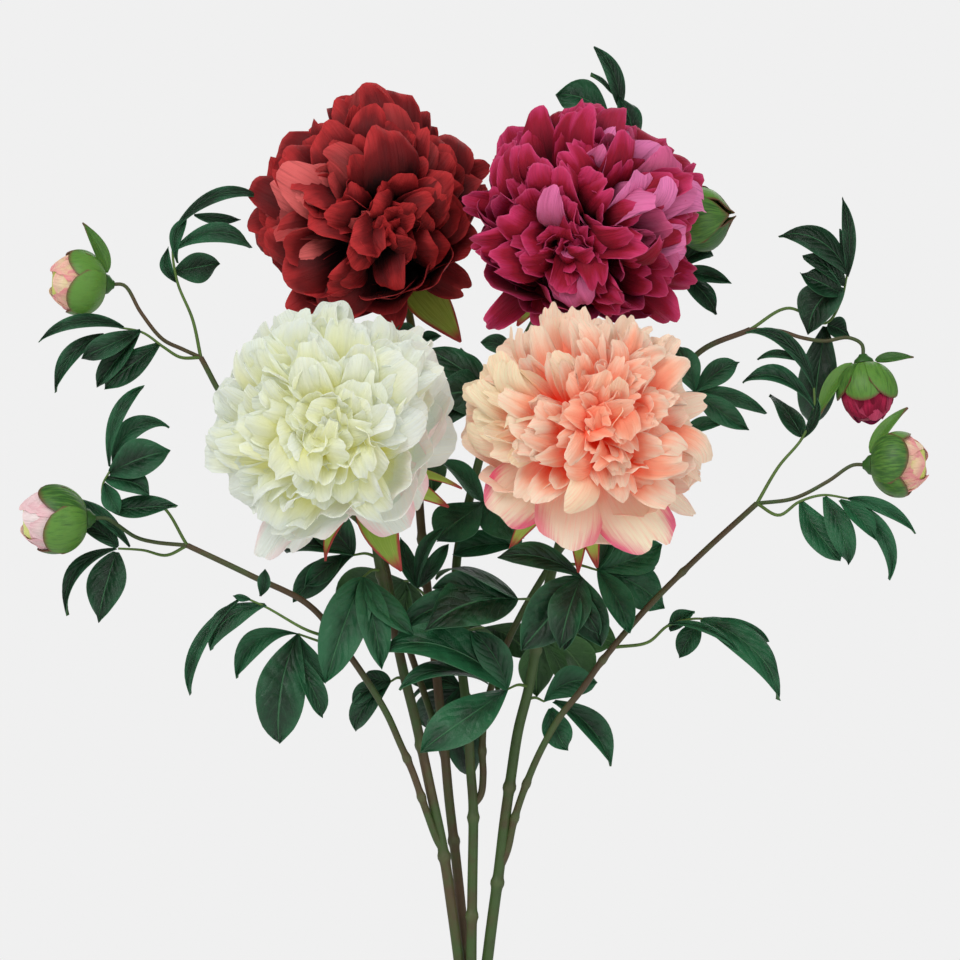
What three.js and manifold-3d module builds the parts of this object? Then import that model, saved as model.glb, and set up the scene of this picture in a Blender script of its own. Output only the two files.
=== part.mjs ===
// Four double peony stems in a plain bud vase, in millimetres, +Z up and the viewer's side towards -Y.
// The origin is the middle of the vase's flat foot. Each stem is one grown piece with its side branch.
// Leaves, calyces, blooms and buds are separate solids that meet the stems with a small gap.
import * as THREE from "three";
import { mergeVertices } from "three/addons/utils/BufferGeometryUtils.js";
import Module from "manifold-3d";

const wasm = await Module();
wasm.setup();

// ---- Driving dimensions -------------------------------------------------------------------------
const GAP = 0.3; // between two pieces that touch

const VASE = {
  height: 210,
  footRadius: 35,
  bodyRadius: 47,
  bodyHeight: 64,
  neckRadius: 19,
  neckHeight: 172,
  rimRadius: 22,
  wall: 4.2,
  floor: 9,
  segments: 24,
};

const STEM = { sides: 6, branchSides: 5, twigSides: 4, knotSwell: 1.3, knotHalf: 2.2 };
const LEAF = { thickness: 0.9, petioleRadius: 1.3, bow: 0.12, raise: 0.22, roll: 0.35, large: 30 };
const BLOOM = { petalThickness: 1.1, coreRadius: 19, coreTop: 66, cupTop: 4, cupRadius: 9, roll: 0.2 };
const SEPAL_THICKNESS = 1.2;
const NECK = 9; // the straight end of a stem below its flower

const COLOURS = {
  vase: 0xe9e6df,
  stem: 0x55663a,
  leaf: 0x1f4a2c,
  sepal: 0x9db54a,
  budSepal: 0x47702c,
  white: 0xf1f0d6,
  red: 0x9c1c22,
  coral: 0xf6b394,
  magenta: 0xb7234f,
  yellowBud: 0xe9d98c,
  blushBud: 0xf0d5cc,
  crimsonBud: 0x96203c,
};

const FRONT = new THREE.Vector3(0, -0.88, 0.48).normalize(); // the way a leaf at the front faces
const BACK = new THREE.Vector3(0, 0.88, 0.48).normalize();
const UP = new THREE.Vector3(0, 0, 1);

const point = ([x, y, z]) => new THREE.Vector3(x, y, z);

// A direction of the object's frame as it lies in the frame of a piece that looks along `axis`.
function directionIn(direction, axis) {
  const turn = new THREE.Quaternion().setFromUnitVectors(UP, axis);
  return direction.clone().applyQuaternion(turn.invert());
}

// ---- From three.js geometry to solids and back --------------------------------------------------
function solidOf(geometry) {
  const bare = geometry.clone();
  for (const name of Object.keys(bare.attributes)) {
    if (name !== "position") bare.deleteAttribute(name);
  }
  const merged = mergeVertices(bare, 1e-4);
  const p = merged.attributes.position;
  const index = Uint32Array.from(merged.index.array);
  const [a, b, c] = [new THREE.Vector3(), new THREE.Vector3(), new THREE.Vector3()];
  let volume = 0;
  for (let i = 0; i < index.length; i += 3) {
    a.fromBufferAttribute(p, index[i]);
    b.fromBufferAttribute(p, index[i + 1]);
    c.fromBufferAttribute(p, index[i + 2]);
    volume += a.dot(b.cross(c));
  }
  if (volume < 0) {
    for (let i = 0; i < index.length; i += 3) {
      [index[i + 1], index[i + 2]] = [index[i + 2], index[i + 1]];
    }
  }
  return new wasm.Manifold(
    new wasm.Mesh({ numProp: 3, vertProperties: Float32Array.from(p.array), triVerts: index }),
  );
}

function geometryOf(solid) {
  const mesh = solid.getMesh();
  const geometry = new THREE.BufferGeometry();
  geometry.setAttribute("position", new THREE.BufferAttribute(mesh.vertProperties, 3));
  geometry.setIndex(new THREE.BufferAttribute(mesh.triVerts, 1));
  geometry.computeVertexNormals();
  return geometry;
}

const union = (solids) => wasm.Manifold.union(solids);

function largest(solid) {
  const bodies = solid.decompose();
  return bodies.reduce((best, body) => (body.volume() > best.volume() ? body : best));
}

function indexed(points, triangles) {
  const geometry = new THREE.BufferGeometry();
  geometry.setAttribute(
    "position",
    new THREE.Float32BufferAttribute(points.flatMap((p) => p.toArray()), 3),
  );
  geometry.setIndex(triangles);
  return geometry;
}

// ---- Shapes that repeat -------------------------------------------------------------------------
// A round tube along a smooth curve, tapering, with swollen knots at some shares of its length.
// Its last NECK millimetres are nearly straight.
function tube(path, { radii, sides, steps, knots = [], grow = 0 }) {
  const curve = new THREE.CatmullRomCurve3(path, false, "centripetal");
  const length = curve.getLength();
  const half = STEM.knotHalf / length;
  const neck = 1 - NECK / length;
  const clear = (at) => knots.every((k) => Math.abs(at - k) > 1.6 * half);
  const places = Array.from({ length: steps + 1 }, (_, i) => ({ at: i / steps, swell: 1 }))
    .filter(({ at }) => clear(at) && (at === 1 || at < neck - 1.6 * half));
  places.push({ at: neck, swell: 1 });
  for (const k of knots) {
    places.push({ at: k - half, swell: 1 }, { at: k, swell: STEM.knotSwell }, { at: k + half, swell: 1 });
  }
  places.sort((a, b) => a.at - b.at);
  const points = [];
  const triangles = [];
  let across = new THREE.Vector3(1, 0, 0);
  places.forEach(({ at, swell }) => {
    const centre = curve.getPointAt(at);
    const along = curve.getTangentAt(at);
    across = across.clone().addScaledVector(along, -across.dot(along)).normalize();
    const other = new THREE.Vector3().crossVectors(along, across);
    const radius = THREE.MathUtils.lerp(radii[0], radii[1], at) * swell + grow;
    if (at === 0) centre.addScaledVector(along, -grow);
    if (at === 1) centre.addScaledVector(along, grow);
    for (let s = 0; s < sides; s += 1) {
      const angle = (2 * Math.PI * s) / sides;
      points.push(
        centre
          .clone()
          .addScaledVector(across, radius * Math.cos(angle))
          .addScaledVector(other, radius * Math.sin(angle)),
      );
    }
  });
  for (let ring = 0; ring + 1 < places.length; ring += 1) {
    for (let s = 0; s < sides; s += 1) {
      const a = ring * sides + s;
      const b = ring * sides + ((s + 1) % sides);
      triangles.push(a, b, b + sides, a, b + sides, a + sides);
    }
  }
  const last = (places.length - 1) * sides;
  for (let s = 1; s + 1 < sides; s += 1) {
    triangles.push(0, s + 1, s, last, last + s, last + s + 1);
  }
  return solidOf(indexed(points, triangles));
}

// A thin closed blade from rows of three points across it, or one where it ends in a point.
function blade(rows, thickness) {
  const points = [];
  const top = [];
  const bottom = [];
  for (const { centre, side, normal, half, raise } of rows) {
    const across = half > 0 ? [1, 0, -1] : [0];
    const middle = across.map((s) =>
      centre
        .clone()
        .addScaledVector(side, s * half)
        .addScaledVector(normal, Math.abs(s) * raise * half),
    );
    top.push(middle.map((p) => points.push(p.clone().addScaledVector(normal, thickness / 2)) - 1));
    bottom.push(middle.map((p) => points.push(p.clone().addScaledVector(normal, -thickness / 2)) - 1));
  }
  const triangles = [];
  const quad = (a, b, c, d) => triangles.push(a, b, c, a, c, d);
  for (let r = 0; r + 1 < rows.length; r += 1) {
    const [a, b, under, next] = [top[r], top[r + 1], bottom[r], bottom[r + 1]];
    for (let j = 0; j < 2; j += 1) {
      if (a.length > 1 && b.length > 1) {
        quad(a[j], a[j + 1], b[j + 1], b[j]);
        triangles.push(under[j], next[j + 1], under[j + 1], under[j], next[j], next[j + 1]);
      } else if (a.length > 1) {
        triangles.push(a[j], a[j + 1], b[0], under[j + 1], under[j], next[0]);
      } else {
        triangles.push(a[0], b[j + 1], b[j], under[0], next[j], next[j + 1]);
      }
    }
    quad(a[0], b[0], next[0], under[0]);
    quad(b.at(-1), a.at(-1), under.at(-1), next.at(-1));
  }
  for (let j = 0; j < 2; j += 1) {
    if (top[0].length > 1) quad(top[0][j + 1], top[0][j], bottom[0][j], bottom[0][j + 1]);
    const [end, endUnder] = [top.at(-1), bottom.at(-1)];
    if (end.length > 1) quad(end[j], end[j + 1], endUnder[j + 1], endUnder[j]);
  }
  return solidOf(indexed(points, triangles));
}

// Rows along a spine that bows towards `face`: shares of the length and of the half width.
// `roll` turns the blade about its length, so that neighbours lie over each other like tiles.
function bowedBlade(from, to, { width, face, bow, raise, thickness, outline, roll = 0 }) {
  const along = to.clone().sub(from);
  const length = along.length();
  along.normalize();
  const rise = face.clone().addScaledVector(along, -face.dot(along)).normalize();
  rise.applyAxisAngle(along, roll);
  const side = new THREE.Vector3().crossVectors(along, rise);
  const rows = outline.map(([v, share]) => {
    const centre = from
      .clone()
      .addScaledVector(along, length * v)
      .addScaledVector(rise, 4 * bow * length * v * (1 - v));
    const slope = along.clone().addScaledVector(rise, 4 * bow * (1 - 2 * v)).normalize();
    const normal = new THREE.Vector3().crossVectors(side, slope);
    return { centre, side, normal, half: (share * width) / 2, raise };
  });
  return blade(rows, thickness);
}

// ---- The vase -----------------------------------------------------------------------------------
function makeVase() {
  const v = VASE;
  const outer = new THREE.SplineCurve([
    new THREE.Vector2(v.footRadius + 2, 3),
    new THREE.Vector2(v.bodyRadius - 3, 30),
    new THREE.Vector2(v.bodyRadius, v.bodyHeight),
    new THREE.Vector2(v.bodyRadius - 8, 104),
    new THREE.Vector2(v.neckRadius + 5, 142),
    new THREE.Vector2(v.neckRadius, v.neckHeight),
    new THREE.Vector2(v.rimRadius, v.height - 2),
  ]).getPoints(8);
  const inner = new THREE.SplineCurve([
    new THREE.Vector2(v.rimRadius - v.wall, v.height - 2),
    new THREE.Vector2(v.neckRadius - v.wall, v.neckHeight),
    new THREE.Vector2(v.neckRadius + 5 - v.wall, 142),
    new THREE.Vector2(v.bodyRadius - 8 - v.wall, 104),
    new THREE.Vector2(v.bodyRadius - v.wall, v.bodyHeight),
    new THREE.Vector2(v.bodyRadius - 5 - v.wall, 30),
    new THREE.Vector2(v.footRadius - v.wall, v.floor + 3),
  ]).getPoints(4);
  const profile = [
    new THREE.Vector2(0, 0),
    new THREE.Vector2(v.footRadius, 0),
    ...outer,
    new THREE.Vector2(v.rimRadius - 1, v.height),
    new THREE.Vector2(v.rimRadius - v.wall + 1, v.height),
    ...inner,
    new THREE.Vector2(v.footRadius - v.wall - 5, v.floor),
    new THREE.Vector2(0, v.floor),
  ];
  const lathe = new THREE.LatheGeometry(profile, v.segments);
  lathe.rotateX(Math.PI / 2); // the lathe turns about +Y, and the vase stands along +Z
  return solidOf(lathe);
}

// ---- Blooms and buds: where they are and which way they look --------------------------------------
// `centre` is the middle of the flower head, and the calyx lies HEAD_REACH behind it along its axis.
// Each head is pressed a little flat on the side towards its neighbour, `by` a share of its radius.
const HEAD_REACH = 50;
const HEADS = {
  white: {
    centre: [-84, -75, 546], axis: [-0.42, -0.72, 0.5], turn: 0.3, press: [1, 0, 0], by: 0.06,
    sepals: [[-43, -54, 459, 26], [-88, -60, 465, 15], [-20, -42, 490, 13]],
  },
  red: {
    centre: [-61, 48, 677], axis: [-0.31, -0.66, 0.68], turn: 1.1, press: [1, -0.2, 0], by: 0.2,
    sepals: [[-8, 68, 597, 26], [-50, 64, 603, 14]],
  },
  coral: {
    centre: [66, -75, 545], axis: [0.1, -0.86, 0.46], turn: 0.8, press: [-1, 0, 0], by: 0.06,
    sepals: [[30, -44, 483, 13], [60, -50, 465, 18], [77, -52, 473, 15]],
  },
  magenta: {
    centre: [66, 8, 671], axis: [0.26, -0.76, 0.56], turn: 2, press: [-1, 0.2, 0], by: 0.2,
    sepals: [[26, 30, 606, 15], [72, 30, 598, 18]],
  },
};
for (const head of Object.values(HEADS)) {
  head.axis = point(head.axis).normalize();
  head.calyx = point(head.centre).addScaledVector(head.axis, -HEAD_REACH);
}

const BUDS = {
  bud_white: { base: [-229, -24, 490], axis: [-1, -0.1, -0.02], radius: 19, length: 43, colour: "blushBud" },
  bud_red: {
    base: [-220, 28, 631], axis: [-1, -0.15, 0.06], radius: 18, length: 37, colour: "yellowBud",
    bracts: [[-236, 24, 668, 11]],
  },
  bud_magenta: {
    base: [235, 30, 586], axis: [0.1, -0.12, -1], radius: 16, length: 40, colour: "crimsonBud",
    bracts: [[265, 24, 587, 7], [208, 28, 551, 14]],
  },
  bud_coral: {
    base: [235, -25, 522], axis: [1, -0.15, 0.02], radius: 18, length: 37, colour: "yellowBud",
    bracts: [[259, -26, 556, 11]],
  },
  bud_top: { base: [122, 88, 670], axis: [1, -0.2, 0.12], radius: 18, length: 36, colour: "crimsonBud" },
};
for (const bud of Object.values(BUDS)) {
  bud.base = point(bud.base);
  bud.axis = point(bud.axis).normalize();
}

// The last two points of a stem that ends under a calyx, in line with the flower's axis.
const endUnder = (place, axis) => [
  place.clone().addScaledVector(axis, -NECK),
  place.clone().addScaledVector(axis, -0.6),
];
const underHead = (name) => endUnder(HEADS[name].calyx, HEADS[name].axis);
const underBud = (name) => endUnder(BUDS[name].base, BUDS[name].axis);

// ---- Stems --------------------------------------------------------------------------------------
const FLOOR = VASE.floor + GAP;
const STEMS = {
  white: {
    main: [
      [-9, -2, FLOOR], [-8, -1.5, 100], [-5.5, -0.5, 195], [-9, -1.5, 225], [-13.5, -2, 258],
      [-18.5, -3, 291], [-26, -5, 327], [-35, -8, 369], [-41, -10, 393], [-49, -12, 429],
      [-56, -14, 459], [-60, -15, 487], [-60, -19, 502],
    ],
    ends: underHead("white"),
    radii: [3.7, 2.7],
    knots: [0.4, 0.53, 0.66, 0.86],
    branches: [
      {
        path: [
          [-18.5, -3, 291], [-22, -5, 297], [-28, -7, 313], [-37, -12, 339], [-44, -16, 355],
          [-53, -20, 375], [-74, -26, 408], [-98, -30, 438], [-133, -30, 456], [-171, -28, 474],
        ],
        radii: [2.3, 1.7],
        knots: [0.14, 0.24, 0.62],
      },
      { path: [[-171, -28, 474], [-191, -27, 476], [-202, -26, 479], [-214, -25, 487]], bud: "bud_white" },
    ],
  },
  red: {
    main: [
      [0, 10, FLOOR], [-1, 9, 100], [-2, 7.5, 195], [-5, 7.5, 225], [-8, 8, 258], [-11.5, 9, 291],
      [-15, 10, 321], [-17.5, 12, 348], [-21, 14, 381], [-26, 18, 429], [-30, 22, 465],
      [-33, 29, 500], [-34, 40, 531], [-35, 61, 573], [-38, 79, 605], [-41, 87, 622],
    ],
    ends: underHead("red"),
    radii: [3.5, 2.4],
    knots: [0.34, 0.44, 0.72, 0.8],
    branches: [
      {
        path: [
          [-17, 12, 342], [-22, 17, 360], [-36, 24, 402], [-48, 28, 437], [-56, 30, 469],
          [-76, 32, 495], [-104, 33, 520], [-130, 33, 541], [-149, 33, 559], [-165, 33, 587],
        ],
        radii: [2.2, 1.7],
        knots: [0.3, 0.55],
      },
      { path: [[-165, 33, 587], [-176, 32, 592], [-188, 31, 598], [-201, 30, 614]], bud: "bud_red" },
    ],
  },
  coral: {
    main: [
      [9, 2, FLOOR], [7, 1.5, 100], [4.5, 0, 195], [8, -1, 225], [11, -2, 249], [15, -3, 279],
      [18.5, -4, 309], [22, -5, 334], [26.5, -6, 363], [32.5, -7, 387], [37, -8, 411],
      [44, -9, 447], [51, -10, 474], [58, -11, 497],
    ],
    ends: underHead("coral"),
    radii: [4, 2.8],
    knots: [0.4, 0.5, 0.61, 0.77],
    branches: [
      {
        path: [
          [15, -3, 279], [20, -4, 291], [24, -5, 309], [31, -7, 330], [40, -9, 351], [52, -11, 372],
          [64, -13, 387], [76, -15, 404], [102, -18, 435], [134, -20, 467], [169, -22, 499],
        ],
        radii: [2.3, 1.7],
        knots: [0.12, 0.2, 0.52, 0.78],
      },
      { path: [[169, -22, 499], [191, -23, 502], [211, -24, 512]], bud: "bud_coral" },
    ],
  },
  magenta: {
    main: [
      [0, -10, FLOOR], [-1, -9, 100], [-1, -7.5, 195], [-1.5, -6, 225], [-1, -5, 267],
      [-0.5, -3, 318], [-2, 0, 339], [-4, 4, 372], [-8, 10, 405], [-11, 18, 441], [-10, 26, 468],
      [-5, 32, 492], [10, 42, 549], [24, 50, 585], [38, 57, 612],
    ],
    ends: underHead("magenta"),
    radii: [3.6, 2.4],
    knots: [0.37, 0.46, 0.73],
    branches: [
      {
        path: [
          [-0.5, -3, 318], [4, -1, 324], [5.5, 2, 336], [5, 6, 350], [7, 12, 375], [20, 22, 415],
          [45, 30, 460], [80, 34, 510], [112, 36, 556], [136, 37, 590], [167, 37, 604],
        ],
        radii: [2.2, 1.7],
        knots: [0.1, 0.84],
      },
      {
        path: [[167, 37, 604], [185, 36, 603], [198, 35, 599], [212, 34, 597], [226, 33, 599]],
        bud: "bud_magenta",
      },
      { path: [[17, 46.5, 568], [34, 72, 588], [66, 94, 612], [94, 96, 644]], bud: "bud_top" },
    ],
  },
};

function makeStem({ main, ends, radii, knots, branches }, grow = 0) {
  const solids = [
    tube([...main.map(point), ...ends], { radii, sides: STEM.sides, steps: 16, knots, grow }),
  ];
  for (const branch of branches) {
    const path = branch.path.map(point);
    if (branch.bud) path.push(...underBud(branch.bud));
    solids.push(
      tube(path, {
        radii: branch.radii ?? [1.5, 1.5],
        sides: branch.bud ? STEM.twigSides : STEM.branchSides,
        steps: branch.bud ? 4 : 9,
        knots: branch.knots ?? [],
        grow,
      }),
    );
  }
  return union(solids);
}

// ---- Leaves -------------------------------------------------------------------------------------
// Each compound leaf: the stem it grows on, the point there, its hub, and its leaflets' tips and widths.
const LEAFLET = [[0, 0], [0.42, 0.97], [0.74, 0.76], [1, 0]];
const SMALL_LEAFLET = [[0, 0], [0.5, 1], [1, 0]];
const LEAVES = {
  white_leaf_fork_upper: {
    from: [-171, -28, 474], hub: [-216, -34, 507], by: [-188, -36, 500],
    tips: [[-197, -36, 567, 15], [-182, -30, 545, 22], [-180, -42, 529, 24], [-192, -52, 503, 25], [-177, -44, 497, 20]],
  },
  white_leaf_fork_lower: {
    from: [-171, -28, 474], hub: [-199, -14, 470], by: [-184, -20, 468],
    tips: [[-236, -6, 501, 17], [-240, -4, 478, 17], [-243, -14, 433, 20], [-223, -20, 427, 28]],
  },
  white_leaf_outer: {
    from: [-82, -27.5, 418], hub: [-126, -42, 436], by: [-100, -42, 424],
    tips: [[-169, -48, 386, 15], [-155, -40, 412, 22], [-143, -46, 444, 10], [-125, -52, 457, 13]],
  },
  white_leaf_drooping: {
    from: [-74, -26, 408], hub: [-103, -20, 424], by: [-86, -18, 414],
    tips: [[-142, -30, 395, 18], [-117, -30, 357, 30], [-91, -14, 391, 17]],
  },
  white_leaf_front: {
    from: [-56, -14, 459], hub: [-66, -34, 455],
    tips: [[-89, -46, 393, 31], [-55, -48, 401, 22], [-36, -44, 420, 20]],
  },
  white_leaf_left: {
    from: [-57, -14.5, 466], hub: [-72, -6, 468],
    tips: [[-113, -8, 470, 29], [-98, 0, 495, 24], [-108, -12, 440, 18]],
  },
  white_leaf_low: {
    from: [-41, -10, 393], hub: [-50, 4, 392],
    tips: [[-76, 8, 373, 19], [-70, 12, 360, 15], [-66, 2, 396, 14]],
  },
  red_leaf_fork_upper: {
    from: [-165, 33, 587], hub: [-179, 33, 638], by: [-170, 33, 612],
    tips: [[-133, 34, 682, 17], [-142, 28, 669, 11], [-134, 22, 652, 17], [-158, 44, 638, 26]],
  },
  red_leaf_fork_lower: {
    from: [-165, 33, 587], hub: [-190, 24, 594], by: [-178, 26, 586],
    tips: [[-224, 20, 568, 35], [-253, 24, 567, 20], [-262, 18, 596, 12], [-237, 8, 586, 20]],
  },
  red_leaf_upright: {
    from: [-27, 19, 437], hub: [-34, 6, 448],
    tips: [[-16, -4, 485, 10], [-16, 2, 474, 10], [-44, 6, 478, 12]],
  },
  red_leaf_top: {
    from: [-37, 73, 595], hub: [-34, 60, 598],
    tips: [[-20, 48, 600, 8], [-48, 40, 604, 12], [-60, 52, 594, 14]],
  },
  coral_leaf_low_left: {
    from: [33, -7, 389], hub: [20, -24, 388],
    tips: [[-56, -40, 410, 34], [-32, -52, 351, 34], [-2, -34, 423, 22]],
  },
  coral_leaf_low_right: {
    from: [31, -6.7, 381], hub: [42, 4, 380],
    tips: [[58, -4, 346, 24], [85, 8, 343, 24], [76, 14, 392, 22]],
  },
  coral_leaf_mid_left: {
    from: [42, -8.7, 437], hub: [26, -30, 442],
    tips: [[-29, -52, 423, 40], [-44, -26, 418, 20], [-23, -20, 454, 20]],
  },
  coral_leaf_front_right: {
    from: [45, -9.1, 451], hub: [64, -40, 455],
    tips: [[14, -56, 467, 18], [28, -62, 412, 36], [51, -66, 413, 26], [76, -52, 415, 24]],
  },
  coral_leaf_right: {
    from: [48, -9.6, 462], hub: [74, -14, 459],
    tips: [[90, -22, 422, 18], [114, -4, 438, 32], [112, -2, 474, 26], [86, -12, 488, 18]],
  },
  coral_leaf_fork_upper: {
    from: [169, -22, 499], hub: [202, -24, 551], by: [186, -22, 526],
    tips: [[157, -36, 571, 16], [160, -28, 601, 18], [169, -22, 585, 11], [176, -14, 558, 26]],
  },
  coral_leaf_fork_lower: {
    from: [169, -22, 499], hub: [194, -32, 499], by: [182, -30, 492],
    tips: [[218, -36, 463, 34], [248, -34, 455, 20], [262, -34, 481, 12], [238, -44, 488, 20]],
  },
  coral_leaf_outer: {
    from: [84, -16, 413], hub: [115, -20, 423],
    tips: [[121, -20, 405, 20], [181, -26, 382, 34], [160, -38, 407, 10], [176, -18, 417, 10]],
  },
  magenta_leaf_low: {
    from: [-4, 4, 372], hub: [-8, 28, 388],
    tips: [[0, 30, 336, 26], [-28, 48, 362, 24], [-40, 46, 394, 22]],
  },
  magenta_leaf_back_low: {
    from: [-9, 13, 418], hub: [6, 32, 424], face: "back",
    tips: [[34, 48, 404, 24], [14, 58, 384, 30], [-18, 52, 402, 24]],
  },
  magenta_leaf_centre: {
    from: [-5, 32, 492], hub: [6, 18, 500],
    tips: [[-22, 10, 524, 24], [-22, 4, 476, 32], [30, 2, 478, 26]],
  },
  magenta_leaf_between: {
    from: [10, 42, 549], hub: [14, 26, 562],
    tips: [[-29, 22, 592, 22], [-22, 12, 562, 30], [-24, 22, 538, 20]],
  },
  magenta_leaf_right: {
    from: [115, 36, 560], hub: [133, 24, 566],
    tips: [[160, 26, 584, 18], [176, 20, 557, 18], [165, 14, 543, 25], [122, 22, 594, 18]],
  },
  magenta_leaf_under: {
    from: [104, 35.7, 545], hub: [124, 22, 540],
    tips: [[148, 12, 546, 12], [142, 8, 525, 18], [110, 8, 512, 22]],
  },
  magenta_leaf_fork: {
    from: [167, 37, 604], hub: [207, 48, 606], by: [190, 42, 617],
    tips: [[184, 34, 660, 20], [204, 34, 648, 24], [223, 44, 686, 13], [230, 50, 660, 9], [229, 52, 604, 20], [203, 70, 548, 26]],
  },
  magenta_leaf_bud: {
    from: [94, 96, 644], hub: [122, 96, 640],
    tips: [[157, 88, 633, 11], [148, 86, 614, 17], [146, 102, 650, 14]],
  },
  magenta_leaf_crown: {
    from: [66, 94, 612], hub: [93, 88, 706], by: [84, 108, 664],
    tips: [[72, 80, 777, 15], [69, 72, 757, 10], [50, 76, 741, 25], [104, 92, 742, 18]],
  },
  magenta_leaf_stem: {
    from: [20, 48, 575], hub: [24, 30, 590],
    tips: [[4, 20, 596, 12], [12, 26, 574, 14]],
  },
  red_leaf_back: {
    from: [-34, 40, 531], hub: [-42, 60, 536], face: "back",
    tips: [[-86, 74, 542, 30], [-60, 88, 498, 32], [-26, 86, 504, 26]],
  },
  red_leaf_back_low: {
    from: [-28, 20, 447], hub: [-42, 42, 452], face: "back",
    tips: [[-84, 54, 440, 28], [-62, 66, 410, 32], [-34, 62, 412, 24]],
  },
  coral_leaf_back: {
    from: [38.8, -8.2, 421], hub: [42, 12, 420], face: "back",
    tips: [[86, 18, 414, 24], [70, 36, 388, 28], [38, 40, 382, 24]],
  },
};

function makeLeaf({ from, by, hub, tips, face = "front" }, stemClearance) {
  const [start, middle] = [point(from), point(hub)];
  const bend = by ? point(by) : start.clone().lerp(middle, 0.5).addScaledVector(UP, 2);
  const petiole = tube([start, bend, middle], {
    radii: [LEAF.petioleRadius, LEAF.petioleRadius * 0.85],
    sides: 3,
    steps: 2,
  });
  // Round the hub each leaflet overlaps the next, and every other one arches higher.
  const facing = face === "back" ? BACK : FRONT;
  const heading = (tip) => {
    const flat = directionIn(point(tip).sub(middle), facing);
    return Math.atan2(flat.y, flat.x);
  };
  const ordered = [...tips].sort((a, b) => heading(a) - heading(b));
  const leaflets = ordered.map((tip, i) =>
    bowedBlade(middle, point(tip), {
      width: tip[3],
      face: facing,
      bow: LEAF.bow * (i % 2 ? 0.2 : 1.6),
      raise: LEAF.raise,
      thickness: LEAF.thickness,
      outline: tip[3] < LEAF.large ? SMALL_LEAFLET : LEAFLET,
      roll: LEAF.roll,
    }),
  );
  return largest(union([petiole, ...leaflets]).subtract(stemClearance));
}

// ---- Flower heads -------------------------------------------------------------------------------
// In the head's own frame the calyx is at the origin and the flower opens along +Z.
const around = (angle, radius, height) =>
  new THREE.Vector3(radius * Math.cos(angle), radius * Math.sin(angle), height);

// Rings of petals from the guard petals at the back to the heart: where they root and where they reach.
const RINGS = [
  { count: 8, root: [10, 13], reach: [76, 31], width: 60, bow: 0.14, raise: 0.1, jitter: 3 },
  { count: 8, root: [12, 22], reach: [76, 62], width: 48, bow: 0.12, raise: 0.2, jitter: 4 },
  { count: 6, root: [12, 33], reach: [64, 90], width: 48, bow: 0.1, raise: 0.25, jitter: 4 },
  { count: 5, root: [9, 44], reach: [41, 106], width: 40, bow: 0.08, raise: 0.3, jitter: 3 },
  { count: 3, root: [4, 52], reach: [14, 110], width: 26, bow: 0.05, raise: 0.4, jitter: 2 },
];
const PETAL = [[0, 0], [0.62, 0.95], [1, 0.5]];
const GUARD_PETAL = [[0, 0], [0.55, 0.9], [1, 0.55]];

function seeded(seed) {
  let state = seed;
  return () => {
    state = (state * 16807) % 2147483647;
    return state / 2147483647;
  };
}

function makeBloom({ turn, axis, press, by }, seed) {
  const random = seeded(seed);
  const pressed = directionIn(point(press).normalize(), axis);
  const { coreRadius: r, coreTop: top } = BLOOM;
  const seat = BLOOM.cupTop + GAP;
  const core = new THREE.LatheGeometry(
    [[0, seat], [6, seat], [0.9 * r, 15], [r, 38], [0.7 * r, top - 9], [0, top]]
      .map(([radius, height]) => new THREE.Vector2(radius, height)),
    6,
  );
  core.rotateX(Math.PI / 2);
  const solids = [solidOf(core)];
  RINGS.forEach((ring, i) => {
    for (let n = 0; n < ring.count; n += 1) {
      const angle = turn + i * 0.7 + (2 * Math.PI * (n + 0.25 * random())) / ring.count;
      const stray = (random() - 0.5) * 2 * ring.jitter;
      const root = around(angle, ring.root[0], ring.root[1]);
      const tip = around(angle, ring.reach[0] + Math.min(stray, 1.5), ring.reach[1] - stray);
      const lean = Math.max(0, tip.clone().setZ(0).normalize().dot(pressed));
      tip.multiplyScalar(1 - by * lean ** 2);
      // the inner face of a petal looks at the middle of the flower's front
      solids.push(
        bowedBlade(root, tip, {
          width: ring.width,
          face: around(angle, -0.7, 0.7),
          bow: -ring.bow,
          raise: ring.raise,
          thickness: BLOOM.petalThickness,
          outline: i === 0 ? GUARD_PETAL : PETAL,
          roll: BLOOM.roll,
        }),
      );
    }
  });
  return largest(union(solids));
}

// The receptacle cup with its sepals: long leafy ones that hang at given places, and short ones
// that lie under the petals on the other side.
const SHORT_SEPAL = { length: 27, width: 17, drop: 7, spread: 1.1 };
const SEPAL = [[0, 0], [0.42, 1], [1, 0]];

function makeCalyx({ sepals, calyx, axis }) {
  const cup = new THREE.LatheGeometry(
    [[0, -7], [4.6, -7], [BLOOM.cupRadius, 1], [BLOOM.cupRadius, BLOOM.cupTop], [0, BLOOM.cupTop]]
      .map(([radius, height]) => new THREE.Vector2(radius, height)),
    10,
  );
  cup.rotateX(Math.PI / 2);
  const tips = sepals.map(([x, y, z, width]) => ({ tip: directionIn(point([x, y, z]).sub(calyx), axis), width }));
  const { length, width, drop, spread } = SHORT_SEPAL;
  const opposite = Math.atan2(-tips[0].tip.y, -tips[0].tip.x);
  for (const step of [-1, 0, 1]) {
    tips.push({ tip: around(opposite + step * spread, length, -drop), width });
  }
  const blades = tips.map(({ tip, width: across }) => {
    const outward = tip.clone().setZ(0).normalize();
    return bowedBlade(outward.clone().multiplyScalar(5), tip, {
      width: across,
      face: outward.clone().multiplyScalar(0.3).add(UP),
      bow: 0.12,
      raise: -0.15,
      thickness: SEPAL_THICKNESS,
      outline: SEPAL,
    });
  });
  return union([solidOf(cup), ...blades]);
}

// ---- Buds ---------------------------------------------------------------------------------------
const BUD = { base: 3, segments: 12, rows: [0, 0.22, 0.45, 0.68, 0.88, 1], shellLift: 2.5, lobes: 4 };

// The radius of the bud's body at a share of its length.
const budRadius = (radius, v) => radius * Math.sin(Math.PI * (0.08 + 0.86 * v) ** 0.92) ** 0.62;

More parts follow.
